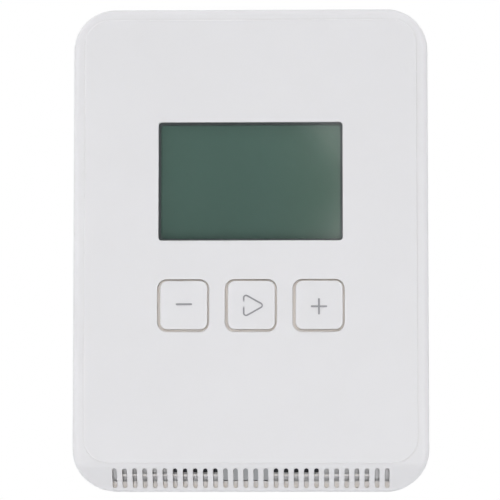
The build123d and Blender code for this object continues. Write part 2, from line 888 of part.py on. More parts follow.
# Switch plungers and the snap domes under them
for name, x in zip(("minus", "arrow", "plus"), key_columns):
    with BuildPart() as plunger:
        with BuildSketch(facing(plunger_back)):
            with Locations((x, key_z)):
                Circle(plunger_radius)
        extrude(amount=plunger_front - plunger_back)
        with BuildSketch(facing(switch_top - touch_gap - plunger_flange_thickness)):
            with Locations((x, key_z)):
                Circle(plunger_flange_radius)
        extrude(amount=plunger_flange_thickness)
    save(plunger, f"{name}_switch_plunger")
    with BuildPart() as dome:
        with BuildSketch(Plane(origin=(x, 0, key_z), x_dir=(1, 0, 0), z_dir=(0, 0, -1))):
            with BuildLine():
                outside = dome_arc(dome_radius, dome_height)
                inside = dome_arc(dome_radius - dome_thickness, dome_height - dome_thickness)
                Line(outside @ 0, inside @ 0)
                Line(outside @ 1, inside @ 1)
            make_face()
        revolve(axis=Axis((x, 0, key_z), (0, 1, 0)))
    save(dome, f"{name}_switch_dome")

# Terminal housing: one cell, wire mouth and screw hole for each way
with BuildPart() as terminal_housing:
    with BuildSketch(facing(board_front)):
        with Locations((0, board_bottom)):
            Rectangle(terminal_width, terminal_height, align=(Align.CENTER, Align.MIN))
    extrude(amount=terminal_depth)
    with BuildSketch(facing(terminal_cell_back)):
        with Locations((0, clamp_z)):
            with GridLocations(terminal_pitch, 0, terminal_ways, 1):
                Rectangle(terminal_cell_width, terminal_cell_height)
    extrude(amount=terminal_cell_depth, mode=Mode.SUBTRACT)
    with BuildSketch(facing(terminal_front)):
        with Locations((0, clamp_z)):
            with GridLocations(terminal_pitch, 0, terminal_ways, 1):
                Circle(clamp_head_radius + clamp_head_clearance)
    extrude(amount=terminal_cell_front - terminal_front, mode=Mode.SUBTRACT)
save(terminal_housing, "terminal_housing")

# Terminal clamps: a metal cage in each cell, open for the wire and threaded for the screw
with BuildPart() as terminal_clamps:
    with BuildSketch(facing(clamp_back)):
        with Locations((0, clamp_z)):
            with GridLocations(terminal_pitch, 0, terminal_ways, 1):
                Rectangle(clamp_width, clamp_height)
    extrude(amount=clamp_depth)
    with BuildSketch(facing(clamp_back + clamp_wall)):
        with Locations((0, clamp_z)):
            with GridLocations(terminal_pitch, 0, terminal_ways, 1):
                Rectangle(clamp_width - 2 * clamp_side_wall, clamp_height)
    extrude(amount=clamp_depth - 2 * clamp_wall, mode=Mode.SUBTRACT)
    with BuildSketch(facing(clamp_front)):
        with Locations((0, clamp_z)):
            with GridLocations(terminal_pitch, 0, terminal_ways, 1):
                Circle(clamp_screw_radius + clamp_screw_clearance)
    extrude(amount=-clamp_wall, mode=Mode.SUBTRACT)
save(terminal_clamps, "terminal_clamps")

# Terminal screws: slotted heads in the housing's holes
with BuildPart() as terminal_screws:
    for start, end, radius in (
        (clamp_front - clamp_wall - clamp_screw_reach, clamp_head_back, clamp_screw_radius),
        (clamp_head_back, clamp_head_front, clamp_head_radius),
    ):
        with BuildSketch(facing(start)):
            with Locations((0, clamp_z)):
                with GridLocations(terminal_pitch, 0, terminal_ways, 1):
                    Circle(radius)
        extrude(amount=end - start)
    with BuildSketch(facing(clamp_head_front)):
        with Locations((0, clamp_z)):
            with GridLocations(terminal_pitch, 0, terminal_ways, 1):
                Rectangle(2 * clamp_head_radius, clamp_slot_width)
    extrude(amount=-clamp_slot_depth, mode=Mode.SUBTRACT)
save(terminal_screws, "terminal_screws")

# Relays beside the display holder
for name, x, z in (
    ("heating_relay", -relay_x, relay_upper_z),
    ("cooling_relay", -relay_x, relay_lower_z),
    ("fan_relay", relay_x, relay_upper_z),
):
    with BuildPart() as relay:
        with BuildSketch(facing(board_front)):
            with Locations((x, z)):
                Rectangle(relay_width, relay_length)
        extrude(amount=relay_height)
        chamfer(relay.faces().sort_by(Axis.Y)[0].edges(), relay_edge)
    save(relay, name)


def pinned_chip(length, width, height, pin_count, pitch, center, four_sides):
    """Moulded chip with a row of pins on two or four sides; the long rows run up the board."""
    with BuildPart() as chip:
        with BuildSketch(facing(board_front)):
            with Locations(center):
                Rectangle(width, length)
        extrude(amount=height)
        chamfer(chip.faces().sort_by(Axis.Y)[0].edges(), chip_edge)
        with BuildSketch(facing(board_front)):
            with Locations(center):
                with GridLocations(width + pin_length, pitch, 2, pin_count):
                    Rectangle(pin_length, pitch * pin_share)
                if four_sides:
                    with GridLocations(pitch, length + pin_length, pin_count, 2):
                        Rectangle(pitch * pin_share, pin_length)
        extrude(amount=pin_height)
    return chip


# Chips
controller_chip = pinned_chip(
    chip_size, chip_size, chip_height, chip_pins, chip_pin_pitch, (chip_x, key_z), True
)
save(controller_chip, "controller_chip")
driver_chip = pinned_chip(
    driver_length, driver_width, driver_height, driver_pins, driver_pin_pitch, (driver_x, key_z), False
)
save(driver_chip, "driver_chip")

# Crystal in its rounded can
with BuildPart() as crystal:
    with BuildSketch(facing(board_front)):
        with Locations((chip_x, crystal_z)):
            SlotOverall(crystal_length, crystal_width)
    extrude(amount=crystal_height)
    fillet(crystal.faces().sort_by(Axis.Y)[0].edges(), chip_edge)
save(crystal, "crystal")

# Voltage regulator with its tab and three pins
with BuildPart() as voltage_regulator:
    with BuildSketch(facing(board_front)):
        with Locations((driver_x, regulator_z)):
            Rectangle(regulator_length, regulator_width)
    extrude(amount=regulator_height)
    chamfer(voltage_regulator.faces().sort_by(Axis.Y)[0].edges(), chip_edge)
    with BuildSketch(facing(board_front)):
        with Locations((driver_x, regulator_z + regulator_width / 2)):
            Rectangle(regulator_tab, pin_length, align=(Align.CENTER, Align.MIN))
        with Locations((driver_x, regulator_z - regulator_width / 2 - pin_length / 2)):
            with GridLocations(regulator_pin_pitch, 0, regulator_pins, 1):
                Rectangle(regulator_pin, pin_length)
    extrude(amount=pin_height)
save(voltage_regulator, "voltage_regulator")

# Bridge rectifier and input fuse beside the notch
with BuildPart() as bridge_rectifier:
    with BuildSketch(facing(board_front)):
        with Locations((top_row_x, top_row_z)):
            Rectangle(rectifier_length, rectifier_width)
    extrude(amount=rectifier_height)
    chamfer(bridge_rectifier.faces().sort_by(Axis.Y)[0].edges(), relay_edge)
save(bridge_rectifier, "bridge_rectifier")

with BuildPart() as input_fuse:
    with BuildSketch(facing(board_front)):
        with Locations((-top_row_x, top_row_z)):
            Circle(fuse_radius)
    extrude(amount=fuse_height)
    fillet(input_fuse.faces().sort_by(Axis.Y)[0].edges(), fuse_edge)
save(input_fuse, "input_fuse")

# Smoothing capacitor: can with a crimped groove near its foot
with BuildPart() as smoothing_capacitor:
    with BuildSketch(facing(board_front)):
        with Locations((relay_x, relay_lower_z)):
            Circle(capacitor_radius)
    extrude(amount=capacitor_height)
    fillet(smoothing_capacitor.faces().sort_by(Axis.Y)[0].edges(), capacitor_edge)
    with BuildSketch(facing(board_front + capacitor_groove_height)):
        with Locations((relay_x, relay_lower_z)):
            Circle(capacitor_radius)
            Circle(capacitor_radius - capacitor_groove, mode=Mode.SUBTRACT)
    extrude(amount=capacitor_groove_height / 2, mode=Mode.SUBTRACT)
save(smoothing_capacitor, "smoothing_capacitor")

# Temperature sensor at the end of the tongue, over the air slots
with BuildPart() as temperature_sensor:
    with BuildSketch(facing(board_front)):
        with Locations((tongue_x, tongue_end + sensor_inset)):
            Rectangle(sensor_size, sensor_size)
    extrude(amount=sensor_height)
    with BuildSketch(facing(board_front + sensor_height)):
        with Locations((tongue_x, tongue_end + sensor_inset)):
            Circle(sensor_eye_radius)
    extrude(amount=-sensor_eye_depth, mode=Mode.SUBTRACT)
save(temperature_sensor, "temperature_sensor")
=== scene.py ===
import json
import math

import bmesh
import bpy
from bpy.props import FloatProperty, FloatVectorProperty, PointerProperty
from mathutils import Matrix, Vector

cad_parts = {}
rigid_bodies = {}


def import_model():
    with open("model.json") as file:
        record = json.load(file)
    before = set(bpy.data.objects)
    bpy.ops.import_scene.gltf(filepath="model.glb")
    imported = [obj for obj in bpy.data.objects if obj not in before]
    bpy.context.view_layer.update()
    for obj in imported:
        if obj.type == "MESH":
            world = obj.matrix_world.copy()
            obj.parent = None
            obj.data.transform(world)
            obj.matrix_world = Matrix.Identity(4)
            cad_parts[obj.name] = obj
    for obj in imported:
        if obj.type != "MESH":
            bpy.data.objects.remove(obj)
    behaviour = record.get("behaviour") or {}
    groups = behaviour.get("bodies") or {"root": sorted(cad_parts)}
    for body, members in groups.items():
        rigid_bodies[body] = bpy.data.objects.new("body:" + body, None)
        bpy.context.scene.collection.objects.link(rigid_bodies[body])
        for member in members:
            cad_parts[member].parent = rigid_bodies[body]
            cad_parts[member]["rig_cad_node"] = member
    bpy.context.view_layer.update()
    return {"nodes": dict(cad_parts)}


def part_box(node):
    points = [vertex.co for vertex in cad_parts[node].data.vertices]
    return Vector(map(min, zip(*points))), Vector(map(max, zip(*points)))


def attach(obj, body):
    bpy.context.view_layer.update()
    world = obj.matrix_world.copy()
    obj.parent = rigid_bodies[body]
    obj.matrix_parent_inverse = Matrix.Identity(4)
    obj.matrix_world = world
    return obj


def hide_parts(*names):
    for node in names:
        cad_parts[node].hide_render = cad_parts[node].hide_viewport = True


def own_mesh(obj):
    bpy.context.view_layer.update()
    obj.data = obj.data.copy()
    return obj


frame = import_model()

bl_info = {
    "name": "Wall thermostat",
    "version": (1, 0, 0),
    "blender": (4, 5, 0),
    "location": "View3D > Sidebar > Thermostat",
    "description": "Finishes the wall thermostat's pieces and sets up its studio stage",
    "category": "Object",
}

MM = 0.001
NODES = frame["nodes"]
KEY_NAMES = ("minus", "arrow", "plus")
# Modelling: corners closer than this are one, how far a cutter stands out (both in mm), the sharpest angle
# in degrees that is shaded as a curve, and how squarely a face has to face an axis
MERGE_DISTANCE, CUT_OVER, SMOOTH_ANGLE, FACING = 0.0005, 1.0, 30.0, 0.95
# Steps round a turned piece and a bar's ends, and across a mark's corner and a rounded edge
TURNED_STEPS, BAR_STEPS, CORNER_STEPS, EDGE_STEPS = 64, 24, 8, 3
# How far each key's mark sits from the key's middle, across and up in mm
INK_SHIFTS = {"minus": (0.05, 0.2), "arrow": (0.76, -0.1), "plus": (-0.06, -0.35)}
# Place in mm where the arrow's print is worn, and the distances at which it is bare and whole
WEAR_PLACE = (-1.66, -25.57, -13.55)
WEAR_BARE, WEAR_WHOLE = 0.4, 1.0
# Painted shade on the blank display, darker towards its bottom, and a painted shadow of the window's edge
# along its lower edge; for each, the shade at the lower and at the upper height, and these heights in mm
FILM_PAINTED_SHADES = ((0.89, 1.04, 2.0, 31.0), (0.67, 1.0, 2.4, 4.8))
# Where in mm the display starts to turn greener to the right, and where it is greenest
FILM_GREEN = (4.0, 20.0)
# Copper tracks in mm: width, and for the upright and the level set the distance and length of the runs
TRACK_WIDTH = 0.3
UPRIGHT_RUNS, LEVEL_RUNS = (1.8, 18.0), (3.0, 27.0)
# Plated holes in mm: width and distance
HOLE_WIDTH, HOLE_DISTANCE = 0.6, 6.0
# Pins on one side of each chip
CONTROLLER_PINS, DRIVER_PINS, REGULATOR_PINS = 12, 8, 3
# Turns that point a chip's pins to each of its sides
SIDE_RIGHT, SIDE_LOW, SIDE_LEFT, SIDE_HIGH = 0.0, math.pi / 2, math.pi, -math.pi / 2
# Outlines of the round parts in mm: height above the foot or drop below the top, and step in from the side
SLEEVE_FOOT = ((0.0, 0.0), (0.9, 0.0), (1.05, 0.25), (1.4, 0.25), (1.6, 0.0))
SLEEVE_TOP = ((0.5, 0.0), (0.15, 0.12), (0.0, 0.4), (0.0, 1.1), (0.2, 1.1))
CAN_TOP = ((0.3, 1.1), (0.12, 1.1), (0.05, 1.3))
FUSE_FOOT = ((0.0, 0.0), (1.2, 0.0), (1.3, 0.15))
FUSE_TOP = ((0.6, 0.15), (0.2, 0.35), (0.0, 0.8), (0.0, 1.4), (0.25, 1.6))
# Small parts on the board: across and up in mm, and whether the part stands upright
RESISTORS = (
    [(x, -7.6, True) for x in (-19.0, -15.2, -11.4, 1.8, 5.6, 9.4, 13.2)]
    + [(x, -20.4, True) for x in (-20.8, -18.4, -8.2, -5.8, 8.2, 10.6)]
    + [(x, -24.2, False) for x in (-12.0, -8.6, 3.4, 6.8, 10.2)]
    + [(x, 41.0, True) for x in (9.4, 11.6)]
    + [(25.6, 41.0, False), (-10.4, 44.6, False), (-10.4, 42.6, False)]
)
CAPACITORS = (
    [(x, -7.6, True) for x in (-7.0, -4.0, 17.2)]
    + [(x, -20.4, True) for x in (-22.8, 18.6, 21.4)]
    + [(x, -24.2, False) for x in (-17.8, 16.2)]
    + [(25.6, 43.6, False), (25.6, 46.0, False), (-25.8, 42.0, False)]
    + [(x, -40.4, True) for x in (-27.4, -31.4)]
)
# Lamps: place, width and height in metres, and the setting and share that give their power
LAMPS = {
    "front_light": ((0.0225, -0.87, -0.082), 0.035, 0.06, "front_power", 1.0),
    "left_light": ((-1.2, 0.25, 0.1), 0.8, 0.8, "side_power", 1.0),
    "right_light": ((1.2, 0.25, 0.1), 0.8, 0.8, "side_power", 0.9),
    "top_light": ((0.0, 0.25, 1.2), 0.8, 0.8, "side_power", 1.0),
    "bottom_light": ((0.0, 0.6, -1.1), 0.8, 0.8, "side_power", 1.05),
    "upper_light": ((-0.7, -1.0, 0.9), 0.7, 0.7, "upper_power", 1.0),
    "low_light": ((0.0, -0.8, -1.0), 0.8, 0.6, "low_power", 1.0),
}
LAMP_COLOUR = "F7F8FF"
# Size of the flecks in the floor's paper, and the nearest thing that the camera sees, both in metres
FLECK_SIZE, CLIP_START = 0.125, 0.01
# Dark card in metres: its distance, its left edge, and for each row its height and its right edge
CARD_PLACE = -0.85
CARD_LEFT = -0.16
CARD_ROWS = (0.03, 0.0776, 0.0905, 0.106, 0.121, 0.137, 0.2)
CARD_RIGHT = (0.004, 0.0135, 0.0225, 0.0285, 0.0185, 0.009, -0.02)


def linear(hex_colour):
    """Linear red, green and blue of an sRGB hex colour."""
    channels = [int(hex_colour[i : i + 2], 16) / 255 for i in (0, 2, 4)]
    return [c / 12.92 if c <= 0.04045 else ((c + 0.055) / 1.055) ** 2.4 for c in channels]


def colour_property(name, description, hex_colour):
    """Colour setting with a hex default."""
    return FloatVectorProperty(
        name=name,
        description=description,
        subtype="COLOR",
        min=0.0,
        max=1.0,
        default=linear(hex_colour),
    )


def millimetres(name, description, length):
    """Length setting with its default in millimetres."""
    return FloatProperty(
        name=name, description=description, unit="LENGTH", min=0.0, precision=5, default=length * MM
    )


def place_property(name, description, place):
    """Place setting in metres."""
    return FloatVectorProperty(
        name=name, description=description, subtype="XYZ", unit="LENGTH", precision=5, default=place
    )


def watts(name, description, power):
    """Power setting of a lamp."""
    return FloatProperty(name=name, description=description, unit="POWER", min=0.0, default=power)


def share_property(name, description, share):
    """Setting from 0 to 1."""
    return FloatProperty(
        name=name, description=description, subtype="FACTOR", min=0.0, max=1.0, default=share
    )


class ThermostatColours(bpy.types.PropertyGroup):
    """Colours of the finishes."""

    case: colour_property("Case", "White of the moulded case and keys", "E1E0DD")
    case_shade: colour_property("Case shade", "Second tone of the white, seen as a faint mottle", "DEDDDA")
    # Painted shade: darker warm tone that the white is given deep in gaps and slots
    painted_gap_shade: colour_property("Crevice", "Warm tone of the white deep in gaps and slots", "D5CEC4")
    ink: colour_property("Ink", "Grey of the marks on the keys", "949392")
    film: colour_property("Display film", "Grey-green of the blank display", "485E55")
    film_right: colour_property("Display film, right", "Greener tone of its right side", "495F53")
    # Partly painted shadow: the real gasket's grey is set to the tone of the shadow along the display
    # window's edge
    foam_and_edge_shadow: colour_property("Foam", "Dark grey of the gasket round the display", "545957")


class ThermostatSizes(bpy.types.PropertyGroup):
    """Sizes of the pieces that are added to the solids."""

    ink_bar: millimetres("Ink bar", "Length of a bar in a mark", 3.95)
    ink_stroke: millimetres("Ink stroke", "Width of a mark's bars", 0.45)
    ink_arrow_stroke: millimetres("Arrow stroke", "Width of the arrow's line", 0.38)
    ink_arrow_width: millimetres("Arrow width", "Width of the arrow before its corners are rounded", 5.61)
    ink_arrow_height: millimetres("Arrow height", "Height of the arrow before they are rounded", 6.29)
    ink_arrow_cut: millimetres("Arrow corners", "Where the rounding of the arrow's corners starts", 1.36)
    ink_bottom: millimetres("Ink floor", "Depth of the engraving that holds the ink", 0.15)
    ink_top: millimetres("Ink surface", "How far the ink's surface lies below the key", 0.03)
    pin_reach: millimetres("Pin reach", "How far a chip's pins stand out", 1.0)
    pin_shoulder: millimetres("Pin shoulder", "How far a pin runs out before it bends down", 0.3)
    pin_rise: millimetres("Pin rise", "Height at which a chip's pins leave it", 0.55)
    pin_thickness: millimetres("Pin thickness", "Thickness of a chip's pins", 0.15)
    chip_foot: millimetres("Chip foot", "Gap between a chip and the board", 0.1)
    chip_rounding: millimetres("Chip rounding", "Rounding of a chip's edges", 0.1)
    dimple: millimetres("Dimple", "Radius of the dimple that marks a chip's first pin", 0.4)
    dimple_depth: millimetres("Dimple depth", "Depth of that dimple", 0.08)
    dimple_inset: millimetres("Dimple inset", "Distance of the dimple from the chip's edges", 0.75)
    fine_pitch: millimetres("Fine pitch", "Distance between the controller's pins", 0.5)
    wide_pitch: millimetres("Wide pitch", "Distance between the driver's pins", 1.27)
    regulator_pitch: millimetres("Regulator pitch", "Distance between the regulator's pins", 2.3)
    regulator_tab: millimetres("Regulator tab", "Width of the regulator's tab", 3.0)
    relay_rounding: millimetres("Relay rounding", "Rounding of a relay's edges", 0.4)
    relay_border: millimetres("Relay border", "Rim round the sunk front of a relay", 0.8)
    relay_sink: millimetres("Relay sink", "How far a relay's front is sunk", 0.15)
    relay_vent: millimetres("Relay vent", "Radius of the vent in a relay's front", 0.5)
    relay_vent_inset: millimetres("Relay vent inset", "Distance of the vent from a relay's sides", 2.4)
    relay_vent_depth: millimetres("Relay vent depth", "Depth of the vent", 0.3)
    score_inset: millimetres("Score inset", "Distance of the capacitor's scored cross from its side", 1.6)
    score_width: millimetres("Score width", "Width of that cross's lines", 0.24)
    score_depth: millimetres("Score depth", "How far the lines reach below the capacitor's top", 0.12)
    stripe_reach: millimetres("Stripe reach", "Distance of the sleeve's stripe from its middle", 2.9)
    small_length: millimetres("Small length", "Length of the small parts on the board", 1.6)
    small_width: millimetres("Small width", "Width of the small parts on the board", 0.8)
    small_height: millimetres("Small height", "Height of the small parts on the board", 0.5)
    small_end: millimetres("Small end", "Length of a small part's metal ends", 0.35)
    small_step: millimetres("Small step", "How far the ends stand out from a small part's body", 0.02)
    small_rounding: millimetres("Small rounding", "Rounding of the small parts' ends", 0.05)
    rivet: millimetres("Rivet", "Radius of the rivets that hold a switch's plate", 0.4)
    rivet_height: millimetres("Rivet height", "Height of those rivets", 0.2)
    rivet_inset: millimetres("Rivet inset", "Distance of the rivets from the plate's edges", 0.75)


class ThermostatStage(bpy.types.PropertyGroup):
    """Camera, light and floor."""

    camera_place: place_property("Camera", "Place of the camera", (0.02047, -0.79474, -0.06842))
    camera_target: place_property("Target", "Point in the picture's middle", (-0.000445, -0.013, 0.000646))
    camera_lens: FloatProperty(name="Lens", description="Focal length", unit="CAMERA", default=230.2)
    floor_z: FloatProperty(name="Floor", description="Height of the floor", unit="LENGTH", default=-1.3)
    floor_size: FloatProperty(name="Floor size", description="Its width", unit="LENGTH", default=30.0)
    floor_glow: share_property("Floor glow", "Strength of the light through the floor", 0.66)
    ambient: share_property("Ambient", "Strength of the light from all round", 0.3)
    front_power: watts("Front light", "Power of the light at the camera", 5.1)
    side_power: watts("Side light", "Power of each light beside the case", 6.8)
    upper_power: watts("Upper light", "Power of the light above on the left", 3.4)
    low_power: watts("Low light", "Power of the light below", 1.3)


def add_node(tree, kind, inputs=None, **settings):
    """Add a shader node, with its settings and with values or links for its inputs."""
    new = tree.nodes.new(f"ShaderNode{kind}")
    for key, value in settings.items():
        setattr(new, key, value)
    for key, value in (inputs or {}).items():
        if isinstance(value, bpy.types.NodeSocket):
            tree.links.new(value, new.inputs[key])
        else:
            new.inputs[key].default_value = value
    return new


def blank_material(name):
    """New material with an empty node tree."""
    material = bpy.data.materials.new(name)
    material.use_nodes = True
    material.node_tree.nodes.clear()
    return material, material.node_tree


def opaque(colour):
    """Colour with full alpha, as the shader sockets want it."""
    return (*colour, 1.0)


def hexed(hex_colour):
    """Shader colour of an sRGB hex colour."""
    return opaque(linear(hex_colour))


def noise(tree, place, size, detail=3.0):
    """Soft noise from 0 to 1 with patches of a given size."""
    return add_node(
        tree, "TexNoise", {"Vector": place, "Scale": 1 / size, "Detail": detail}
    ).outputs["Fac"]


def spread(tree, share, low, high, start=0.0, end=1.0):
    """Value that goes from low to high while a share goes from its start to its end."""
    limits = {"Value": share, "From Min": start, "From Max": end, "To Min": low, "To Max": high}
    return add_node(tree, "MapRange", limits).outputs["Result"]


def blend(tree, share, first, second, blend_type="MIX"):
    """Colour between two colours by a share."""
    return add_node(
        tree, "MixRGB", {"Fac": share, "Color1": first, "Color2": second}, blend_type=blend_type
    ).outputs["Color"]


def sums(tree, operation, first, second=0.0):
    """Result of one sum."""
    return add_node(tree, "Math", {0: first, 1: second}, operation=operation).outputs["Value"]


def relief(tree, height, depth, strength=1.0):
    """Normal of a surface with a fine relief."""
    return add_node(
        tree, "Bump", {"Height": height, "Strength": strength, "Distance": depth}
    ).outputs["Normal"]


def object_place(tree):
    """Place on the object, in metres."""
    return add_node(tree, "TexCoord").outputs["Object"]


def apart(tree, vector):
    """The three parts of a vector."""
    return add_node(tree, "SeparateXYZ", {"Vector": vector}).outputs


def ended(material, sockets):
    """Material with a principled shader that has the given values as its surface."""
    shader = add_node(material.node_tree, "BsdfPrincipled", sockets)
    add_node(material.node_tree, "OutputMaterial", {"Surface": shader.outputs["BSDF"]})
    return material


# Plain finishes. Each has two close tones, the size of their patches in mm, the roughness in the first and
# in the second tone, the size and height of the fine relief in mm, and the shader's other values.
FINISHES = {
    # Light grey plate behind the keys, satin
    "moulded_grey_abs": ("C6C7C8", "BEBFC1", 7.0, 0.42, 0.52, 0.4, 0.02, {"IOR": 1.53}),
    # Display holder and switch bodies: deep black and dull
    "moulded_black_polyamide": ("1A1B1D", "242528", 4.0, 0.5, 0.65, 0.3, 0.03, {"IOR": 1.53}),
    # Relay cases: black and smoother, with faint flow marks
    "moulded_black_polyester": ("16171A", "202225", 6.0, 0.28, 0.42, 0.5, 0.01, {"IOR": 1.57}),
    # Switch plungers: brown and a little waxy
    "moulded_brown_acetal": ("4A3526", "563E2D", 2.0, 0.36, 0.5, 0.3, 0.015, {"IOR": 1.48}),
    # Terminal housing: leaf green, satin
    "moulded_green_polyamide": ("1F6B45", "287A50", 5.0, 0.36, 0.5, 0.4, 0.02, {"IOR": 1.53}),
    # Fuse: brown red and glossy
    "moulded_red_polyester": ("63211A", "712A20", 3.0, 0.22, 0.34, 0.5, 0.01, {"IOR": 1.57}),
    # Chips, sensor and resistors: charcoal with a fine speckle of filler
    "moulded_epoxy": ("1F2023", "2B2C2F", 0.5, 0.48, 0.65, 0.15, 0.01, {"IOR": 1.55}),
    # Small capacitors: tan, fired ceramic
    "fired_ceramic": ("A48662", "B4976F", 0.6, 0.4, 0.55, 0.2, 0.01, {"IOR": 1.6}),
    # Lamps: cream resin, yellower where the phosphor is thick
    "phosphor_resin": ("EAE2B4", "DCC968", 0.8, 0.28, 0.4, 0.3, 0.01, {"IOR": 1.5}),
    # Grommets: very dark grey and dull, a little dusty
    "moulded_rubber": ("3A3B3C", "454647", 2.5, 0.7, 0.85, 0.5, 0.03, {"IOR": 1.5}),
    # Shield in front of the lug: light grey powder coat with a faint orange peel
    "powder_coated_steel": ("B4B5B4", "ABACAB", 4.0, 0.5, 0.62, 0.6, 0.04, {"IOR": 1.5}),
    # Display lens: glassy, with a very slight ripple
    "clear_polycarbonate": (
        "FBFEFD", "FAFDFC", 9.0, 0.06, 0.08, 9.0, 0.01, {"IOR": 1.58, "Transmission Weight": 1.0}
    ),
    # Display glass: clear with a faint green body and crisp reflections
    "cut_float_glass": (
        "F3FBF8", "F0FAF6", 5.0, 0.0, 0.04, 5.0, 0.002, {"IOR": 1.52, "Transmission Weight": 1.0}
    ),
    # Light guide: milky where its back is frosted
    "frosted_acrylic": (
        "FAFBFB", "F4F6F6", 1.5, 0.25, 0.45, 0.4, 0.01, {"IOR": 1.49, "Transmission Weight": 0.85}
    ),
    # Pins and solder ends: bright grey, softly uneven
    "hot_dipped_tin": ("C9CBCC", "B4B7B9", 0.6, 0.22, 0.4, 0.3, 0.02, {"Metallic": 1.0}),
    # Screws and switch plates: pale zinc in faint cloudy spangles
    "zinc_plated_steel": ("C4C8CC", "B1B4B6", 1.6, 0.26, 0.44, 0.4, 0.01, {"Metallic": 1.0}),
    # Lock screw: nearly black, with an oily sheen
    "blackened_steel": ("2B2B2D", "3A3A3C", 1.2, 0.36, 0.55, 0.25, 0.01, {"Metallic": 1.0}),
    # Snap domes: bright and faintly warm
    "rolled_spring_steel": ("C2BEB6", "B5B1A9", 1.0, 0.18, 0.3, 0.2, 0.005, {"Metallic": 1.0}),
    # Terminal clamps: pale yellow metal, duller in patches
    "stamped_brass": ("C9B06C", "B79D59", 1.2, 0.28, 0.42, 0.3, 0.01, {"Metallic": 1.0}),
    # Crystal can: smooth warm silver
    "drawn_nickel": ("C0BDB7", "B0ADA7", 3.0, 0.16, 0.3, 0.4, 0.01, {"Metallic": 1.0}),
    # Capacitor's top: soft white metal
    "bare_aluminium": ("D4D5D6", "C6C7C9", 1.5, 0.3, 0.42, 0.25, 0.01, {"Metallic": 1.0}),
}


def finish(name):
    """Material of one of the plain finishes."""
    if name in bpy.data.materials:
        return bpy.data.materials[name]
    first, second, patch, smooth, rough, grain, height, values = FINISHES[name]
    material, tree = blank_material(name)
    place = object_place(tree)
    share = noise(tree, place, patch * MM)
    sockets = {
        "Base Color": blend(tree, share, hexed(first), hexed(second)),
        "Roughness": spread(tree, share, smooth, rough),
        "Normal": relief(tree, noise(tree, place, grain * MM, 2.0), height * MM),
    }
    return ended(material, {**sockets, **values})


def moulded_abs(name, colours, roughness):
    """Injection-moulded white ABS: satin, softly translucent, a fine grain, with a painted warm shade deep in
    gaps.
    """
    material, tree = blank_material(name)
    place = object_place(tree)
    # Mottle about 14 mm across, and a grain drawn at 0.4 mm so that it can show at all
    mottle = noise(tree, place, 14 * MM)
    grain = noise(tree, place, 0.4 * MM, 2.0)
    white = blend(tree, mottle, opaque(colours.case), opaque(colours.case_shade))
    # Painted shade: gaps narrower than about 1.6 mm are painted a darker, warmer tone
    sky = add_node(tree, "AmbientOcclusion", {"Distance": 1.6 * MM}, samples=8).outputs["AO"]
    openness = spread(tree, sky, 0.0, 1.0, 0.15, 0.7)
    return ended(
        material,
        {
            "Base Color": blend(tree, openness, opaque(colours.painted_gap_shade), white),
            "Roughness": roughness,
            "IOR": 1.53,
            "Subsurface Weight": 1.0,
            "Subsurface Radius": (1.0, 1.0, 1.0),
            "Subsurface Scale": 0.6 * MM,
            "Normal": relief(tree, grain, 0.03 * MM, 0.12),
        },
    )


def pad_ink(colours):
    """Pad-printed grey ink: matt, a little uneven, worn off in one place on the arrow."""
    material, tree = blank_material("pad_printed_ink")
    place = object_place(tree)
    patch = noise(tree, place, 0.6 * MM)
    worn_spot = [v * MM for v in WEAR_PLACE]
    away = add_node(tree, "VectorMath", {0: place, 1: worn_spot}, operation="DISTANCE")
    kept = spread(tree, away.outputs["Value"], 0.0, 1.0, WEAR_BARE * MM, WEAR_WHOLE * MM)
    return ended(
        material,
        {
            "Base Color": blend(tree, kept, opaque(colours.case_shade), opaque(colours.ink)),
            "Roughness": spread(tree, patch, 0.5, 0.7),
            "IOR": 1.5,
        },
    )


def display_film(colours):
    """Matt polarising film over a blank display: grey-green, faintly cloudy, with painted shade towards its
    bottom and a painted shadow along its lower edge.
    """
    material, tree = blank_material("polarising_film")
    place = object_place(tree)
    axes = apart(tree, place)
    start, end = FILM_GREEN
    green = spread(tree, axes["X"], 0.0, 1.0, start * MM, end * MM)
    colour = blend(tree, green, opaque(colours.film), opaque(colours.film_right))
    value = spread(tree, noise(tree, place, 18 * MM, 2.0), 0.95, 1.05)
    # Painted shade: darker towards the bottom, and a painted shadow of the window's lower edge along that
    # edge
    for low, high, start, end in FILM_PAINTED_SHADES:
        value = sums(tree, "MULTIPLY", value, spread(tree, axes["Z"], low, high, start * MM, end * MM))
    tone = add_node(tree, "HueSaturation", {"Color": colour, "Value": value})
    return ended(
        material,
        {"Base Color": tone.outputs["Color"], "Roughness": 0.25, "IOR": 1.48, "Specular IOR Level": 0.3},
    )


def foam_rubber(colours):
    """Closed-cell foam: dark grey, dull, pitted by its cells; its grey also serves as painted shadow along
    the display window's edge.
    """
    material, tree = blank_material("closed_cell_foam")
    cells = add_node(
        tree, "TexVoronoi", {"Vector": object_place(tree), "Scale": 1 / (0.35 * MM)}
    ).outputs["Distance"]
    shade = spread(tree, cells, 1.1, 0.9)
    tone = add_node(tree, "HueSaturation", {"Color": opaque(colours.foam_and_edge_shadow), "Value": shade})
    return ended(
        material,
        {
            "Base Color": tone.outputs["Color"],
            "Roughness": spread(tree, cells, 0.8, 0.9),
            "IOR": 1.5,
            "Normal": relief(tree, cells, 0.1 * MM, 0.5),
        },
    )


def layered_silicone():
    """Silicone rubber strip: pink, crossed by many thin dark contact layers."""
    material, tree = blank_material("layered_silicone")
    # Layers are about 0.1 mm apart; drawn every 0.5 mm so that they can show
    scale = math.pi / 10 / (0.5 * MM)
    layers = add_node(
        tree, "TexWave", {"Vector": object_place(tree), "Scale": scale}, bands_direction="X"
    ).outputs["Fac"]
    return ended(
        material,
        {
            "Base Color": blend(tree, layers, hexed("C58F8C"), hexed("2A2222")),
            "Roughness": spread(tree, layers, 0.6, 0.75),
            "IOR": 1.41,
            "Normal": relief(tree, layers, 0.02 * MM),
        },
    )


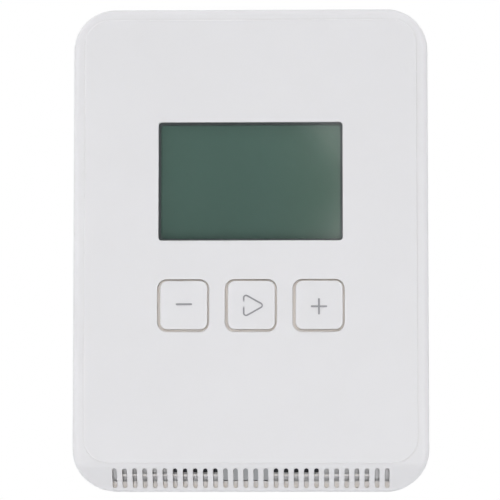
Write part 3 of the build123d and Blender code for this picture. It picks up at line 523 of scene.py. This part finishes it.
def track_runs(tree, along, across, distance, length):
    """Copper tracks: black lines on white, in straight runs."""
    flat = add_node(tree, "CombineXYZ", {"X": along, "Y": across})
    bare, copper = hexed("FFFFFF"), hexed("000000")
    return add_node(
        tree,
        "TexBrick",
        {
            "Vector": flat.outputs["Vector"],
            "Color1": bare,
            "Color2": bare,
            "Mortar": copper,
            "Scale": 1 / MM,
            "Mortar Size": TRACK_WIDTH / 2,
            "Brick Width": length,
            "Row Height": distance,
        },
    ).outputs["Color"]


def lacquered_board():
    """Glass-fibre board: green lacquer, lighter over its copper tracks, bright plated holes, pale edges."""
    material, tree = blank_material("lacquered_glass_fibre")
    coordinates = add_node(tree, "TexCoord").outputs
    axes = apart(tree, coordinates["Object"])
    bare = hexed("FFFFFF")
    # Each set of tracks shows in patches of its own, about 11 mm across
    patch = noise(tree, coordinates["Object"], 11 * MM, 1.0)
    upright = track_runs(tree, axes["Z"], axes["X"], *UPRIGHT_RUNS)
    level = track_runs(tree, axes["X"], axes["Z"], *LEVEL_RUNS)
    upright = blend(tree, spread(tree, patch, 0.0, 1.0, 0.46, 0.47), bare, upright)
    level = blend(tree, spread(tree, patch, 0.0, 1.0, 0.5, 0.51), level, bare)
    open_lacquer = blend(tree, 1.0, upright, level, "DARKEN")
    flat = add_node(tree, "CombineXYZ", {"X": axes["X"], "Y": axes["Z"]})
    holes = add_node(
        tree,
        "TexVoronoi",
        {"Vector": flat.outputs["Vector"], "Scale": 1 / (HOLE_DISTANCE * MM)},
        voronoi_dimensions="2D",
    )
    plated = sums(tree, "LESS_THAN", holes.outputs["Distance"], HOLE_WIDTH / 2 / HOLE_DISTANCE)
    weave = noise(tree, coordinates["Object"], 0.8 * MM)
    lacquer = blend(tree, open_lacquer, hexed("2E8A57"), hexed("0F5B35"))
    face = blend(tree, plated, lacquer, hexed("D2CDB8"))
    edge = blend(tree, weave, hexed("A9A779"), hexed("BDB98C"))
    facing = sums(tree, "ABSOLUTE", apart(tree, coordinates["Normal"])["Y"])
    return ended(
        material,
        {
            "Base Color": blend(tree, sums(tree, "GREATER_THAN", facing, 0.5), edge, face),
            "Metallic": plated,
            "Roughness": spread(tree, weave, 0.2, 0.34),
            "IOR": 1.55,
            "Normal": relief(tree, open_lacquer, -0.035 * MM),
        },
    )


def shrink_sleeve(stripe_end):
    """Shrink sleeve of a capacitor: dark blue, glossy, with a pale stripe down its lower side."""
    material, tree = blank_material("shrink_sleeve")
    place = object_place(tree)
    stripe = sums(tree, "LESS_THAN", apart(tree, place)["Z"], stripe_end)
    ripple = noise(tree, place, 1.8 * MM)
    return ended(
        material,
        {
            "Base Color": blend(tree, stripe, hexed("1B2340"), hexed("B9BEC9")),
            "Roughness": spread(tree, ripple, 0.18, 0.3),
            "IOR": 1.54,
            "Normal": relief(tree, ripple, 0.03 * MM),
        },
    )


def dress(material, *nodes):
    """Give CAD nodes a finish in their own material slots."""
    for name in nodes:
        for slot in NODES[name].material_slots:
            slot.material = material


def only(obj):
    """Select one object and make it active."""
    bpy.ops.object.select_all(action="DESELECT")
    obj.select_set(True)
    bpy.context.view_layer.objects.active = obj


def edit(obj):
    """Start to edit a piece, with all of it selected."""
    only(obj)
    bpy.ops.object.mode_set(mode="EDIT")
    bpy.ops.mesh.select_all(action="SELECT")


def leave_edit():
    """Stop editing."""
    bpy.ops.object.mode_set(mode="OBJECT")


def extrude(move):
    """Extrude what is selected."""
    bpy.ops.mesh.extrude_region_move(TRANSFORM_OT_translate={"value": move})


def disc(steps, radius, place=(0.0, 0.0, 0.0)):
    """Flat disc at a place, facing the front, ready to be edited."""
    bpy.ops.object.select_all(action="DESELECT")
    bpy.ops.mesh.primitive_circle_add(
        vertices=steps, radius=radius, fill_type="NGON", location=place, rotation=(math.pi / 2, 0.0, 0.0)
    )
    bpy.ops.object.transform_apply(location=True, rotation=True)
    edit(bpy.context.active_object)
    return bpy.context.active_object


def settle(obj, name, material, body):
    """Name a finished piece, put its place into its mesh, and give it a finish and a body."""
    only(obj)
    bpy.ops.object.transform_apply(location=True, rotation=True, scale=True)
    obj.name = name
    obj.data.name = name
    obj.data.materials.clear()
    obj.data.materials.append(material)
    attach(obj, body)


def smooth(obj):
    """Shade a piece's curves smoothly and keep its edges sharp."""
    only(obj)
    bpy.ops.object.shade_smooth_by_angle(angle=math.radians(SMOOTH_ANGLE))


def merged_copy(node, name, material, body):
    """Copy of a CAD node with its triangles joined, so that its small curves shade smoothly."""
    only(NODES[node])
    bpy.ops.object.duplicate()
    copy = bpy.context.active_object
    del copy["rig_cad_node"]
    copy.parent = None
    edit(copy)
    bpy.ops.mesh.remove_doubles(threshold=MERGE_DISTANCE * MM)
    bpy.ops.mesh.customdata_custom_splitnormals_clear()
    leave_edit()
    smooth(copy)
    settle(copy, name, material, body)
    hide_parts(node)
    return copy


def face_outward():
    """Turn all faces of the piece that is being edited outward, and stop editing."""
    bpy.ops.mesh.select_all(action="SELECT")
    bpy.ops.mesh.normals_make_consistent(inside=False)
    leave_edit()


def thicken(depth):
    """Give the flat piece that is being edited its thickness, and stop editing."""
    bpy.ops.mesh.select_all(action="SELECT")
    extrude((0.0, depth, 0.0))
    face_outward()


def rounded_bar(length, stroke, centre, angle, front, back):
    """Bar with round ends on a key's face, turned by an angle about the face's normal."""
    bar = disc(BAR_STEPS, stroke / 2)
    mesh = bmesh.from_edit_mesh(bar.data)
    for side in (-1, 1):
        for vertex in mesh.verts:
            vertex.select_set(vertex.co.x * side > MERGE_DISTANCE * MM)
        mesh.select_flush_mode()
        bmesh.update_edit_mesh(bar.data)
        bpy.ops.transform.translate(value=(side * (length - stroke) / 2, 0.0, 0.0))
    thicken(back - front)
    bar.location = (centre[0], front, centre[1])
    bar.rotation_euler = (0.0, -angle, 0.0)
    bpy.ops.object.transform_apply(location=True, rotation=True)
    return bar


def rounded_ring(corners, corner_cut, stroke, front, back):
    """Closed line with rounded corners on a key's face, between two depths."""
    ring = disc(len(corners), 1.0)
    mesh = bmesh.from_edit_mesh(ring.data)
    for vertex, corner in zip(mesh.verts, corners):
        vertex.co = (corner[0], front, corner[1])
    bmesh.update_edit_mesh(ring.data)
    bpy.ops.mesh.select_all(action="SELECT")
    bpy.ops.mesh.bevel(offset=corner_cut, segments=CORNER_STEPS, affect="VERTICES")
    bpy.ops.mesh.select_all(action="SELECT")
    bpy.ops.mesh.inset(thickness=stroke)
    bpy.ops.mesh.delete(type="FACE")
    thicken(back - front)
    return ring


def combine(first, operation, other):
    """Join a solid to another, or cut it out of it."""
    only(first)
    bpy.ops.object.modifier_add(type="BOOLEAN")
    joiner = first.modifiers[-1]
    joiner.operation = operation
    joiner.solver = "EXACT"
    joiner.object = other
    bpy.ops.object.modifier_apply(modifier=joiner.name)
    bpy.data.objects.remove(other)


def boxed(low, high, rounding=0.0):
    """Box between two corners, with rounded edges."""
    bpy.ops.object.select_all(action="DESELECT")
    bpy.ops.mesh.primitive_cube_add(size=1.0, location=[(a + b) / 2 for a, b in zip(low, high)])
    box = bpy.context.active_object
    box.scale = [b - a for a, b in zip(low, high)]
    bpy.ops.object.transform_apply(location=True, scale=True)
    if rounding:
        edit(box)
        bpy.ops.mesh.bevel(offset=rounding, segments=EDGE_STEPS, affect="EDGES")
        leave_edit()
    return box


def turned(profile, place):
    """Round piece that stands on a surface at a place: pairs of height and radius, from its foot up."""
    height, radius = profile[0]
    piece = disc(TURNED_STEPS, radius, place)
    for next_height, next_radius in profile[1:]:
        extrude((0.0, height - next_height, 0.0))
        share = next_radius / radius
        bpy.ops.transform.resize(value=(share, 1.0, share), center_override=place)
        height, radius = next_height, next_radius
    face_outward()
    smooth(piece)
    return piece


def drilled(piece, place, radius, depth):
    """Sink a round blind hole into a piece's front, at a place on that front."""
    foot = (place[0], place[1] + depth, place[2])
    combine(piece, "DIFFERENCE", turned([(0.0, radius), (depth + CUT_OVER * MM, radius)], foot))


def pick_faces(piece, wanted):
    """Select the faces that a test wants, in edit mode."""
    bpy.context.tool_settings.mesh_select_mode = (False, False, True)
    bpy.ops.mesh.select_all(action="DESELECT")
    mesh = bmesh.from_edit_mesh(piece.data)
    for face in mesh.faces:
        if wanted(face):
            face.select_set(True)
    bmesh.update_edit_mesh(piece.data)


def copied(piece, move, turn=0.0):
    """Copy of a piece, turned about the depth axis and then moved."""
    only(piece)
    bpy.ops.object.duplicate()
    copy = bpy.context.active_object
    copy.rotation_euler = (0.0, turn, 0.0)
    copy.location = move
    bpy.ops.object.transform_apply(location=True, rotation=True)
    return copy


def joined(pieces):
    """One object from several."""
    only(pieces[0])
    for piece in pieces[1:]:
        piece.select_set(True)
    bpy.ops.object.join()
    return bpy.context.active_object


def middle_of(node):
    """Middle of a node, on its back."""
    low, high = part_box(node)
    return Vector(((low.x + high.x) / 2, high.y, (low.z + high.z) / 2))


def upright_can(node):
    """Foot, radius and height of a round part that stands on the board."""
    low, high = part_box(node)
    return middle_of(node), (high.x - low.x) / 2, high.y - low.y


def outline(radius, height, foot, top):
    """Heights and radii of a round part, from the steps near its foot and near its top."""
    low = [(rise * MM, radius - inset * MM) for rise, inset in foot]
    return low + [(height - drop * MM, radius - inset * MM) for drop, inset in top]


def gull_wing(width, sizes):
    """Flat pin that steps down to the board, drawn from the chip's side along +X."""
    reach, rise, thick = sizes.pin_reach, sizes.pin_rise, sizes.pin_thickness
    shoulder = sizes.pin_shoulder
    pin = boxed((-thick, -rise, -width / 2), (shoulder, thick - rise, width / 2))
    edit(pin)
    pick_faces(pin, lambda face: face.normal.x > FACING)
    extrude((shoulder, rise - thick, 0.0))
    extrude((reach - 2 * shoulder, 0.0, 0.0))
    leave_edit()
    return pin


def pinned_chip(node, name, rows, sizes):
    """Chip with bent pins; each row has the turn of its side, the number of pins, their pitch and width."""
    low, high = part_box(node)
    centre = middle_of(node)
    turns = [row[0] for row in rows]
    half_x = (high.x - low.x) / 2 - (sizes.pin_reach if SIDE_RIGHT in turns else 0.0)
    half_z = (high.z - low.z) / 2 - (sizes.pin_reach if SIDE_LOW in turns else 0.0)
    body = boxed(
        (centre.x - half_x, low.y, centre.z - half_z),
        (centre.x + half_x, high.y - sizes.chip_foot, centre.z + half_z),
        sizes.chip_rounding,
    )
    inset = sizes.dimple_inset
    dimple = (centre.x - half_x + inset, low.y, centre.z + half_z - inset)
    drilled(body, dimple, sizes.dimple, sizes.dimple_depth)
    settle(body, name, finish("moulded_epoxy"), "back_shell")
    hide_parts(node)
    pins = []
    for turn, count, pitch, width in rows:
        pin = gull_wing(width, sizes)
        out = half_x if turn in (SIDE_RIGHT, SIDE_LEFT) else half_z
        for step in range(count):
            along = (step - (count - 1) / 2) * pitch
            move = (
                centre.x + out * math.cos(turn) + along * math.sin(turn),
                centre.y,
                centre.z - out * math.sin(turn) + along * math.cos(turn),
            )
            pins.append(copied(pin, move, turn))
        bpy.data.objects.remove(pin)
    settle(joined(pins), f"{name}_pins", finish("hot_dipped_tin"), "back_shell")


class THERMOSTAT_OT_case(bpy.types.Operator):
    """Finish the cover, the back shell, the key retainer and the pieces round the lock screw"""

    bl_idname = "thermostat.case"
    bl_label = "Case"

    def execute(self, context):
        satin = moulded_abs("moulded_white_abs", context.scene.thermostat_colours, 0.42)
        merged_copy("front_cover", "cover_shell", satin, "cover")
        merged_copy("wall_plate", "back_shell", satin, "back_shell")
        merged_copy("lock_screw", "lock_grub_screw", finish("blackened_steel"), "lock_screw")
        dress(finish("moulded_grey_abs"), "key_retainer")
        dress(finish("moulded_rubber"), "entry_grommets")
        dress(finish("powder_coated_steel"), "lug_shield")
        return {"FINISHED"}


class THERMOSTAT_OT_keys(bpy.types.Operator):
    """Finish the keys and fill their engraved marks with ink"""

    bl_idname = "thermostat.keys"
    bl_label = "Keys"

    def execute(self, context):
        colours = context.scene.thermostat_colours
        sizes = context.scene.thermostat_sizes
        satin = moulded_abs("moulded_key_abs", colours, 0.38)
        ink = pad_ink(colours)
        bar, stroke = sizes.ink_bar, sizes.ink_stroke
        width, rise = sizes.ink_arrow_width, sizes.ink_arrow_height / 2
        for key in KEY_NAMES:
            merged_copy(f"{key}_key", f"{key}_cap", satin, f"{key}_key")
            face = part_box(f"{key}_key")[0].y
            depths = (face + sizes.ink_top, face + sizes.ink_bottom)
            across, up = INK_SHIFTS[key]
            middle = middle_of(f"{key}_key")
            x, z = middle.x + across * MM, middle.z + up * MM
            if key == "arrow":
                left = x - width / 2
                corners = [(left, z + rise), (left, z - rise), (left + width, z)]
                mark = rounded_ring(corners, sizes.ink_arrow_cut, sizes.ink_arrow_stroke, *depths)
            else:
                mark = rounded_bar(bar, stroke, (x, z), 0.0, *depths)
            if key == "plus":
                combine(mark, "UNION", rounded_bar(bar, stroke, (x, z), math.pi / 2, *depths))
            settle(mark, f"{key}_ink", ink, f"{key}_key")
        return {"FINISHED"}


class THERMOSTAT_OT_display(bpy.types.Operator):
    """Finish the lens, the gasket and the display's layers"""

    bl_idname = "thermostat.display"
    bl_label = "Display"

    def execute(self, context):
        colours = context.scene.thermostat_colours
        dress(finish("clear_polycarbonate"), "display_lens")
        dress(foam_rubber(colours), "display_gasket")
        dress(display_film(colours), "front_polariser", "rear_polariser")
        dress(finish("cut_float_glass"), "front_glass", "rear_glass")
        dress(finish("frosted_acrylic"), "light_guide")
        dress(finish("phosphor_resin"), "guide_lamps")
        dress(finish("moulded_black_polyamide"), "display_holder")
        dress(layered_silicone(), "upper_contact_strip", "lower_contact_strip")
        return {"FINISHED"}


class THERMOSTAT_OT_board(bpy.types.Operator):
    """Finish the board, its screws and the terminals"""

    bl_idname = "thermostat.board"
    bl_label = "Board"

    def execute(self, context):
        zinc = finish("zinc_plated_steel")
        dress(lacquered_board(), "circuit_board")
        merged_copy("board_screws", "round_head_screws", zinc, "back_shell")
        merged_copy("terminal_screws", "slotted_screws", zinc, "back_shell")
        dress(finish("stamped_brass"), "terminal_clamps")
        dress(finish("moulded_green_polyamide"), "terminal_housing")
        return {"FINISHED"}


class THERMOSTAT_OT_switches(bpy.types.Operator):
    """Finish the key switches and their domes, and rivet their plates"""

    bl_idname = "thermostat.switches"
    bl_label = "Key switches"

    def execute(self, context):
        sizes = context.scene.thermostat_sizes
        black = finish("moulded_black_polyamide")
        dress(black, "switch_bodies")
        dress(finish("zinc_plated_steel"), "switch_plates")
        low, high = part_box("switch_plates")
        reach = (high.z - low.z) / 2 - sizes.rivet_inset
        radius, height = sizes.rivet, sizes.rivet_height
        rivet = turned([(0.0, radius), (height / 2, radius), (height, radius / 2)], (0.0, 0.0, 0.0))
        rivets = []
        for key in KEY_NAMES:
            dress(finish("moulded_brown_acetal"), f"{key}_switch_plunger")
            node, steel = f"{key}_switch_dome", finish("rolled_spring_steel")
            dome = merged_copy(node, f"{key}_snap_dome", steel, "back_shell")
            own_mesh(dome)
            middle = middle_of(f"{key}_switch_plunger")
            for x in (middle.x - reach, middle.x + reach):
                for z in (middle.z - reach, middle.z + reach):
                    rivets.append(copied(rivet, (x, low.y, z)))
        bpy.data.objects.remove(rivet)
        settle(joined(rivets), "switch_rivets", black, "back_shell")
        return {"FINISHED"}


class THERMOSTAT_OT_chips(bpy.types.Operator):
    """Build the chips with their bent pins"""

    bl_idname = "thermostat.chips"
    bl_label = "Chips"

    def execute(self, context):
        sizes = context.scene.thermostat_sizes
        fine, wide, single = sizes.fine_pitch, sizes.wide_pitch, sizes.regulator_pitch
        sides = (SIDE_RIGHT, SIDE_LOW, SIDE_LEFT, SIDE_HIGH)
        controller = [(side, CONTROLLER_PINS, fine, fine / 2) for side in sides]
        driver = [(side, DRIVER_PINS, wide, wide / 3) for side in (SIDE_RIGHT, SIDE_LEFT)]
        regulator = [(SIDE_LOW, REGULATOR_PINS, single, single / 3)]
        regulator.append((SIDE_HIGH, 1, single, sizes.regulator_tab))
        pinned_chip("controller_chip", "controller", controller, sizes)
        pinned_chip("driver_chip", "driver", driver, sizes)
        pinned_chip("voltage_regulator", "regulator", regulator, sizes)
        dress(finish("moulded_epoxy"), "bridge_rectifier", "temperature_sensor")
        return {"FINISHED"}


class THERMOSTAT_OT_relays(bpy.types.Operator):
    """Build the three relay cases with a sunk front and a vent"""

    bl_idname = "thermostat.relays"
    bl_label = "Relays"

    def execute(self, context):
        sizes = context.scene.thermostat_sizes
        black = finish("moulded_black_polyester")
        border, inset = sizes.relay_border, sizes.relay_vent_inset
        low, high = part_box("heating_relay")
        relay = boxed(low, high, sizes.relay_rounding)
        edit(relay)
        pick_faces(relay, lambda face: face.normal.y < -FACING and face.calc_area() > border**2)
        bpy.ops.mesh.inset(thickness=border, depth=-sizes.relay_sink)
        leave_edit()
        drilled(relay, (low.x + inset, low.y, high.z - inset), sizes.relay_vent, sizes.relay_vent_depth)
        copies = {node: copied(relay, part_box(node)[0] - low) for node in ("cooling_relay", "fan_relay")}
        for node, piece in {"heating_relay": relay, **copies}.items():
            settle(piece, f"{node}_case", black, "back_shell")
            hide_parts(node)
        return {"FINISHED"}


class THERMOSTAT_OT_cans(bpy.types.Operator):
    """Build the capacitor with its scored top and the fuse, and finish the crystal"""

    bl_idname = "thermostat.cans"
    bl_label = "Capacitor, fuse and crystal"

    def execute(self, context):
        sizes = context.scene.thermostat_sizes
        foot, radius, height = upright_can("smoothing_capacitor")
        sleeve = turned(outline(radius, height, SLEEVE_FOOT, SLEEVE_TOP), foot)
        striped = shrink_sleeve(foot.z - sizes.stripe_reach)
        settle(sleeve, "capacitor_sleeve", striped, "back_shell")
        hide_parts("smoothing_capacitor")

        top = turned(outline(radius, height, (), CAN_TOP), foot)
        front = foot.y - height
        arm, half = radius - sizes.score_inset, sizes.score_width / 2
        for x, z in ((arm, half), (half, arm)):
            low = (foot.x - x, front - CUT_OVER * MM, foot.z - z)
            high = (foot.x + x, front + sizes.score_depth, foot.z + z)
            combine(top, "DIFFERENCE", boxed(low, high))
        settle(top, "capacitor_top", finish("bare_aluminium"), "back_shell")

        foot, radius, height = upright_can("input_fuse")
        fuse = turned(outline(radius, height, FUSE_FOOT, FUSE_TOP), foot)
        settle(fuse, "fuse_cap", finish("moulded_red_polyester"), "back_shell")
        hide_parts("input_fuse")
        merged_copy("crystal", "crystal_can", finish("drawn_nickel"), "back_shell")
        return {"FINISHED"}


class THERMOSTAT_OT_small_parts(bpy.types.Operator):
    """Build the small resistors and capacitors on the board"""

    bl_idname = "thermostat.small_parts"
    bl_label = "Small parts"

    def execute(self, context):
        sizes = context.scene.thermostat_sizes
        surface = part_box("circuit_board")[0].y
        length, width, height = sizes.small_length / 2, sizes.small_width / 2, sizes.small_height
        inner, step = length - sizes.small_end, sizes.small_step
        body = boxed((-inner, step - height, step - width), (inner, 0.0, width - step))
        right = boxed((inner, -height, -width), (length, 0.0, width), sizes.small_rounding)
        ends = joined([right, copied(right, (0.0, 0.0, 0.0), math.pi)])
        metal = []
        for name, places, material in (
            ("chip_resistors", RESISTORS, finish("moulded_epoxy")),
            ("chip_capacitors", CAPACITORS, finish("fired_ceramic")),
        ):
            bodies = []
            for x, z, upright in places:
                move = (x * MM, surface, z * MM)
                turn = math.pi / 2 if upright else 0.0
                bodies.append(copied(body, move, turn))
                metal.append(copied(ends, move, turn))
            settle(joined(bodies), name, material, "back_shell")
        bpy.data.objects.remove(body)
        bpy.data.objects.remove(ends)
        settle(joined(metal), "chip_part_ends", finish("hot_dipped_tin"), "back_shell")
        return {"FINISHED"}


def aim(obj, target):
    """Turn an object so that it looks at a point."""
    obj.rotation_euler = (Vector(target) - obj.location).to_track_quat("-Z", "Y").to_euler()


def soft_box(name, place, width, height, power):
    """Soft light that shines on the middle of the part and isn't mirrored in it."""
    data = bpy.data.lights.new(name, "AREA")
    data.shape = "RECTANGLE"
    data.size = width
    data.size_y = height
    data.energy = power
    data.color = linear(LAMP_COLOUR)
    lamp = bpy.data.objects.new(name, data)
    bpy.context.scene.collection.objects.link(lamp)
    lamp.location = place
    lamp.visible_camera = lamp.visible_glossy = lamp.visible_transmission = False
    aim(lamp, (0.0, 0.0, 0.0))


def pale_floor(stage):
    """Paper floor, lit through from below, so that it stays pale in views from above."""
    bpy.ops.object.select_all(action="DESELECT")
    bpy.ops.mesh.primitive_plane_add(size=stage.floor_size, location=(0.0, 0.0, stage.floor_z))
    floor = bpy.context.active_object
    floor.name = "studio_floor"
    material, tree = blank_material("pale_paper_sweep")
    fleck = noise(tree, object_place(tree), FLECK_SIZE)
    tone = blend(tree, fleck, hexed("EFEFEF"), hexed("EBEBEB"))
    glow = {"Emission Color": tone, "Emission Strength": stage.floor_glow}
    floor.visible_diffuse = False
    floor.data.materials.append(ended(material, {"Base Color": tone, "Roughness": 0.9, **glow}))


def white_world(stage):
    """White to the eye, in reflections and through clear pieces; a weaker light on everything else."""
    world = bpy.data.worlds.new("white_studio")
    bpy.context.scene.world = world
    world.use_nodes = True
    tree = world.node_tree
    tree.nodes.clear()
    path = add_node(tree, "LightPath").outputs
    seen = sums(tree, "MAXIMUM", path["Is Camera Ray"], path["Is Glossy Ray"])
    seen = sums(tree, "MAXIMUM", seen, path["Is Transmission Ray"])
    around = add_node(
        tree, "Background", {"Color": hexed(LAMP_COLOUR), "Strength": stage.ambient}
    )
    white = add_node(tree, "Background", {"Color": hexed("FFFFFF"), "Strength": 1.0})
    mix = add_node(
        tree,
        "MixShader",
        {0: seen, 1: around.outputs["Background"], 2: white.outputs["Background"]},
    )
    add_node(tree, "OutputWorld", {"Surface": mix.outputs["Shader"]})


def dark_card():
    """Dark card that the display lens mirrors; its right edge is where the pale reflection starts."""
    bpy.ops.object.select_all(action="DESELECT")
    bpy.ops.mesh.primitive_plane_add(size=1.0, rotation=(math.pi / 2, 0.0, 0.0))
    card = bpy.context.active_object
    card.name = "dark_card"
    bpy.ops.object.transform_apply(rotation=True)
    edit(card)
    steps = len(CARD_ROWS) - 1
    bpy.ops.mesh.subdivide(number_cuts=steps - 1)
    mesh = bmesh.from_edit_mesh(card.data)
    for vertex in mesh.verts:
        row = round((vertex.co.z + 0.5) * steps)
        share = vertex.co.x + 0.5
        across = CARD_LEFT + share * (CARD_RIGHT[row] - CARD_LEFT)
        vertex.co = (across, CARD_PLACE, CARD_ROWS[row])
    bmesh.update_edit_mesh(card.data)
    leave_edit()
    card.visible_camera = card.visible_diffuse = card.visible_shadow = False
    velvet = blank_material("black_velvet")[0]
    card.data.materials.append(ended(velvet, {"Base Color": hexed("0A0A0A"), "Roughness": 0.95}))


def studio_camera(stage):
    """Camera in the place that the photo was taken from."""
    lens = bpy.data.cameras.new("camera")
    lens.lens = stage.camera_lens
    lens.clip_start = CLIP_START
    camera = bpy.data.objects.new("camera", lens)
    bpy.context.scene.collection.objects.link(camera)
    camera.location = stage.camera_place
    aim(camera, stage.camera_target)
    bpy.context.scene.camera = camera


class THERMOSTAT_OT_stage(bpy.types.Operator):
    """Set the floor, the light and the camera"""

    bl_idname = "thermostat.stage"
    bl_label = "Stage"

    def execute(self, context):
        stage = context.scene.thermostat_stage
        context.scene.view_settings.view_transform = "Standard"
        # Light has to find its way between the white walls of the slots
        context.scene.cycles.diffuse_bounces = 8
        pale_floor(stage)
        white_world(stage)
        for name, (place, width, height, setting, share) in LAMPS.items():
            soft_box(name, place, width, height, getattr(stage, setting) * share)
        # The lamps reach the display straight through its clear lens
        NODES["display_lens"].visible_shadow = False
        dark_card()
        studio_camera(stage)
        return {"FINISHED"}


class THERMOSTAT_PT_panel(bpy.types.Panel):
    """Steps that build the thermostat's looks"""

    bl_idname = "THERMOSTAT_PT_panel"
    bl_label = "Wall thermostat"
    bl_space_type = "VIEW_3D"
    bl_region_type = "UI"
    bl_category = "Thermostat"

    def draw(self, context):
        for step in STEPS:
            self.layout.operator(step.bl_idname)


STEPS = (
    THERMOSTAT_OT_case,
    THERMOSTAT_OT_keys,
    THERMOSTAT_OT_display,
    THERMOSTAT_OT_board,
    THERMOSTAT_OT_switches,
    THERMOSTAT_OT_chips,
    THERMOSTAT_OT_relays,
    THERMOSTAT_OT_cans,
    THERMOSTAT_OT_small_parts,
    THERMOSTAT_OT_stage,
)
SETTINGS = {
    "thermostat_colours": ThermostatColours,
    "thermostat_sizes": ThermostatSizes,
    "thermostat_stage": ThermostatStage,
}
CLASSES = (*SETTINGS.values(), *STEPS, THERMOSTAT_PT_panel)


def register():
    """Add the settings, the steps and their panel."""
    for item in CLASSES:
        bpy.utils.register_class(item)
    for name, group in SETTINGS.items():
        setattr(bpy.types.Scene, name, PointerProperty(type=group))


def unregister():
    """Take them out again."""
    for name in SETTINGS:
        delattr(bpy.types.Scene, name)
    for item in reversed(CLASSES):
        bpy.utils.unregister_class(item)


def main():
    """Run every step."""
    register()
    for step in STEPS:
        group, action = step.bl_idname.split(".")
        getattr(getattr(bpy.ops, group), action)()


if __name__ == "__main__":
    main()
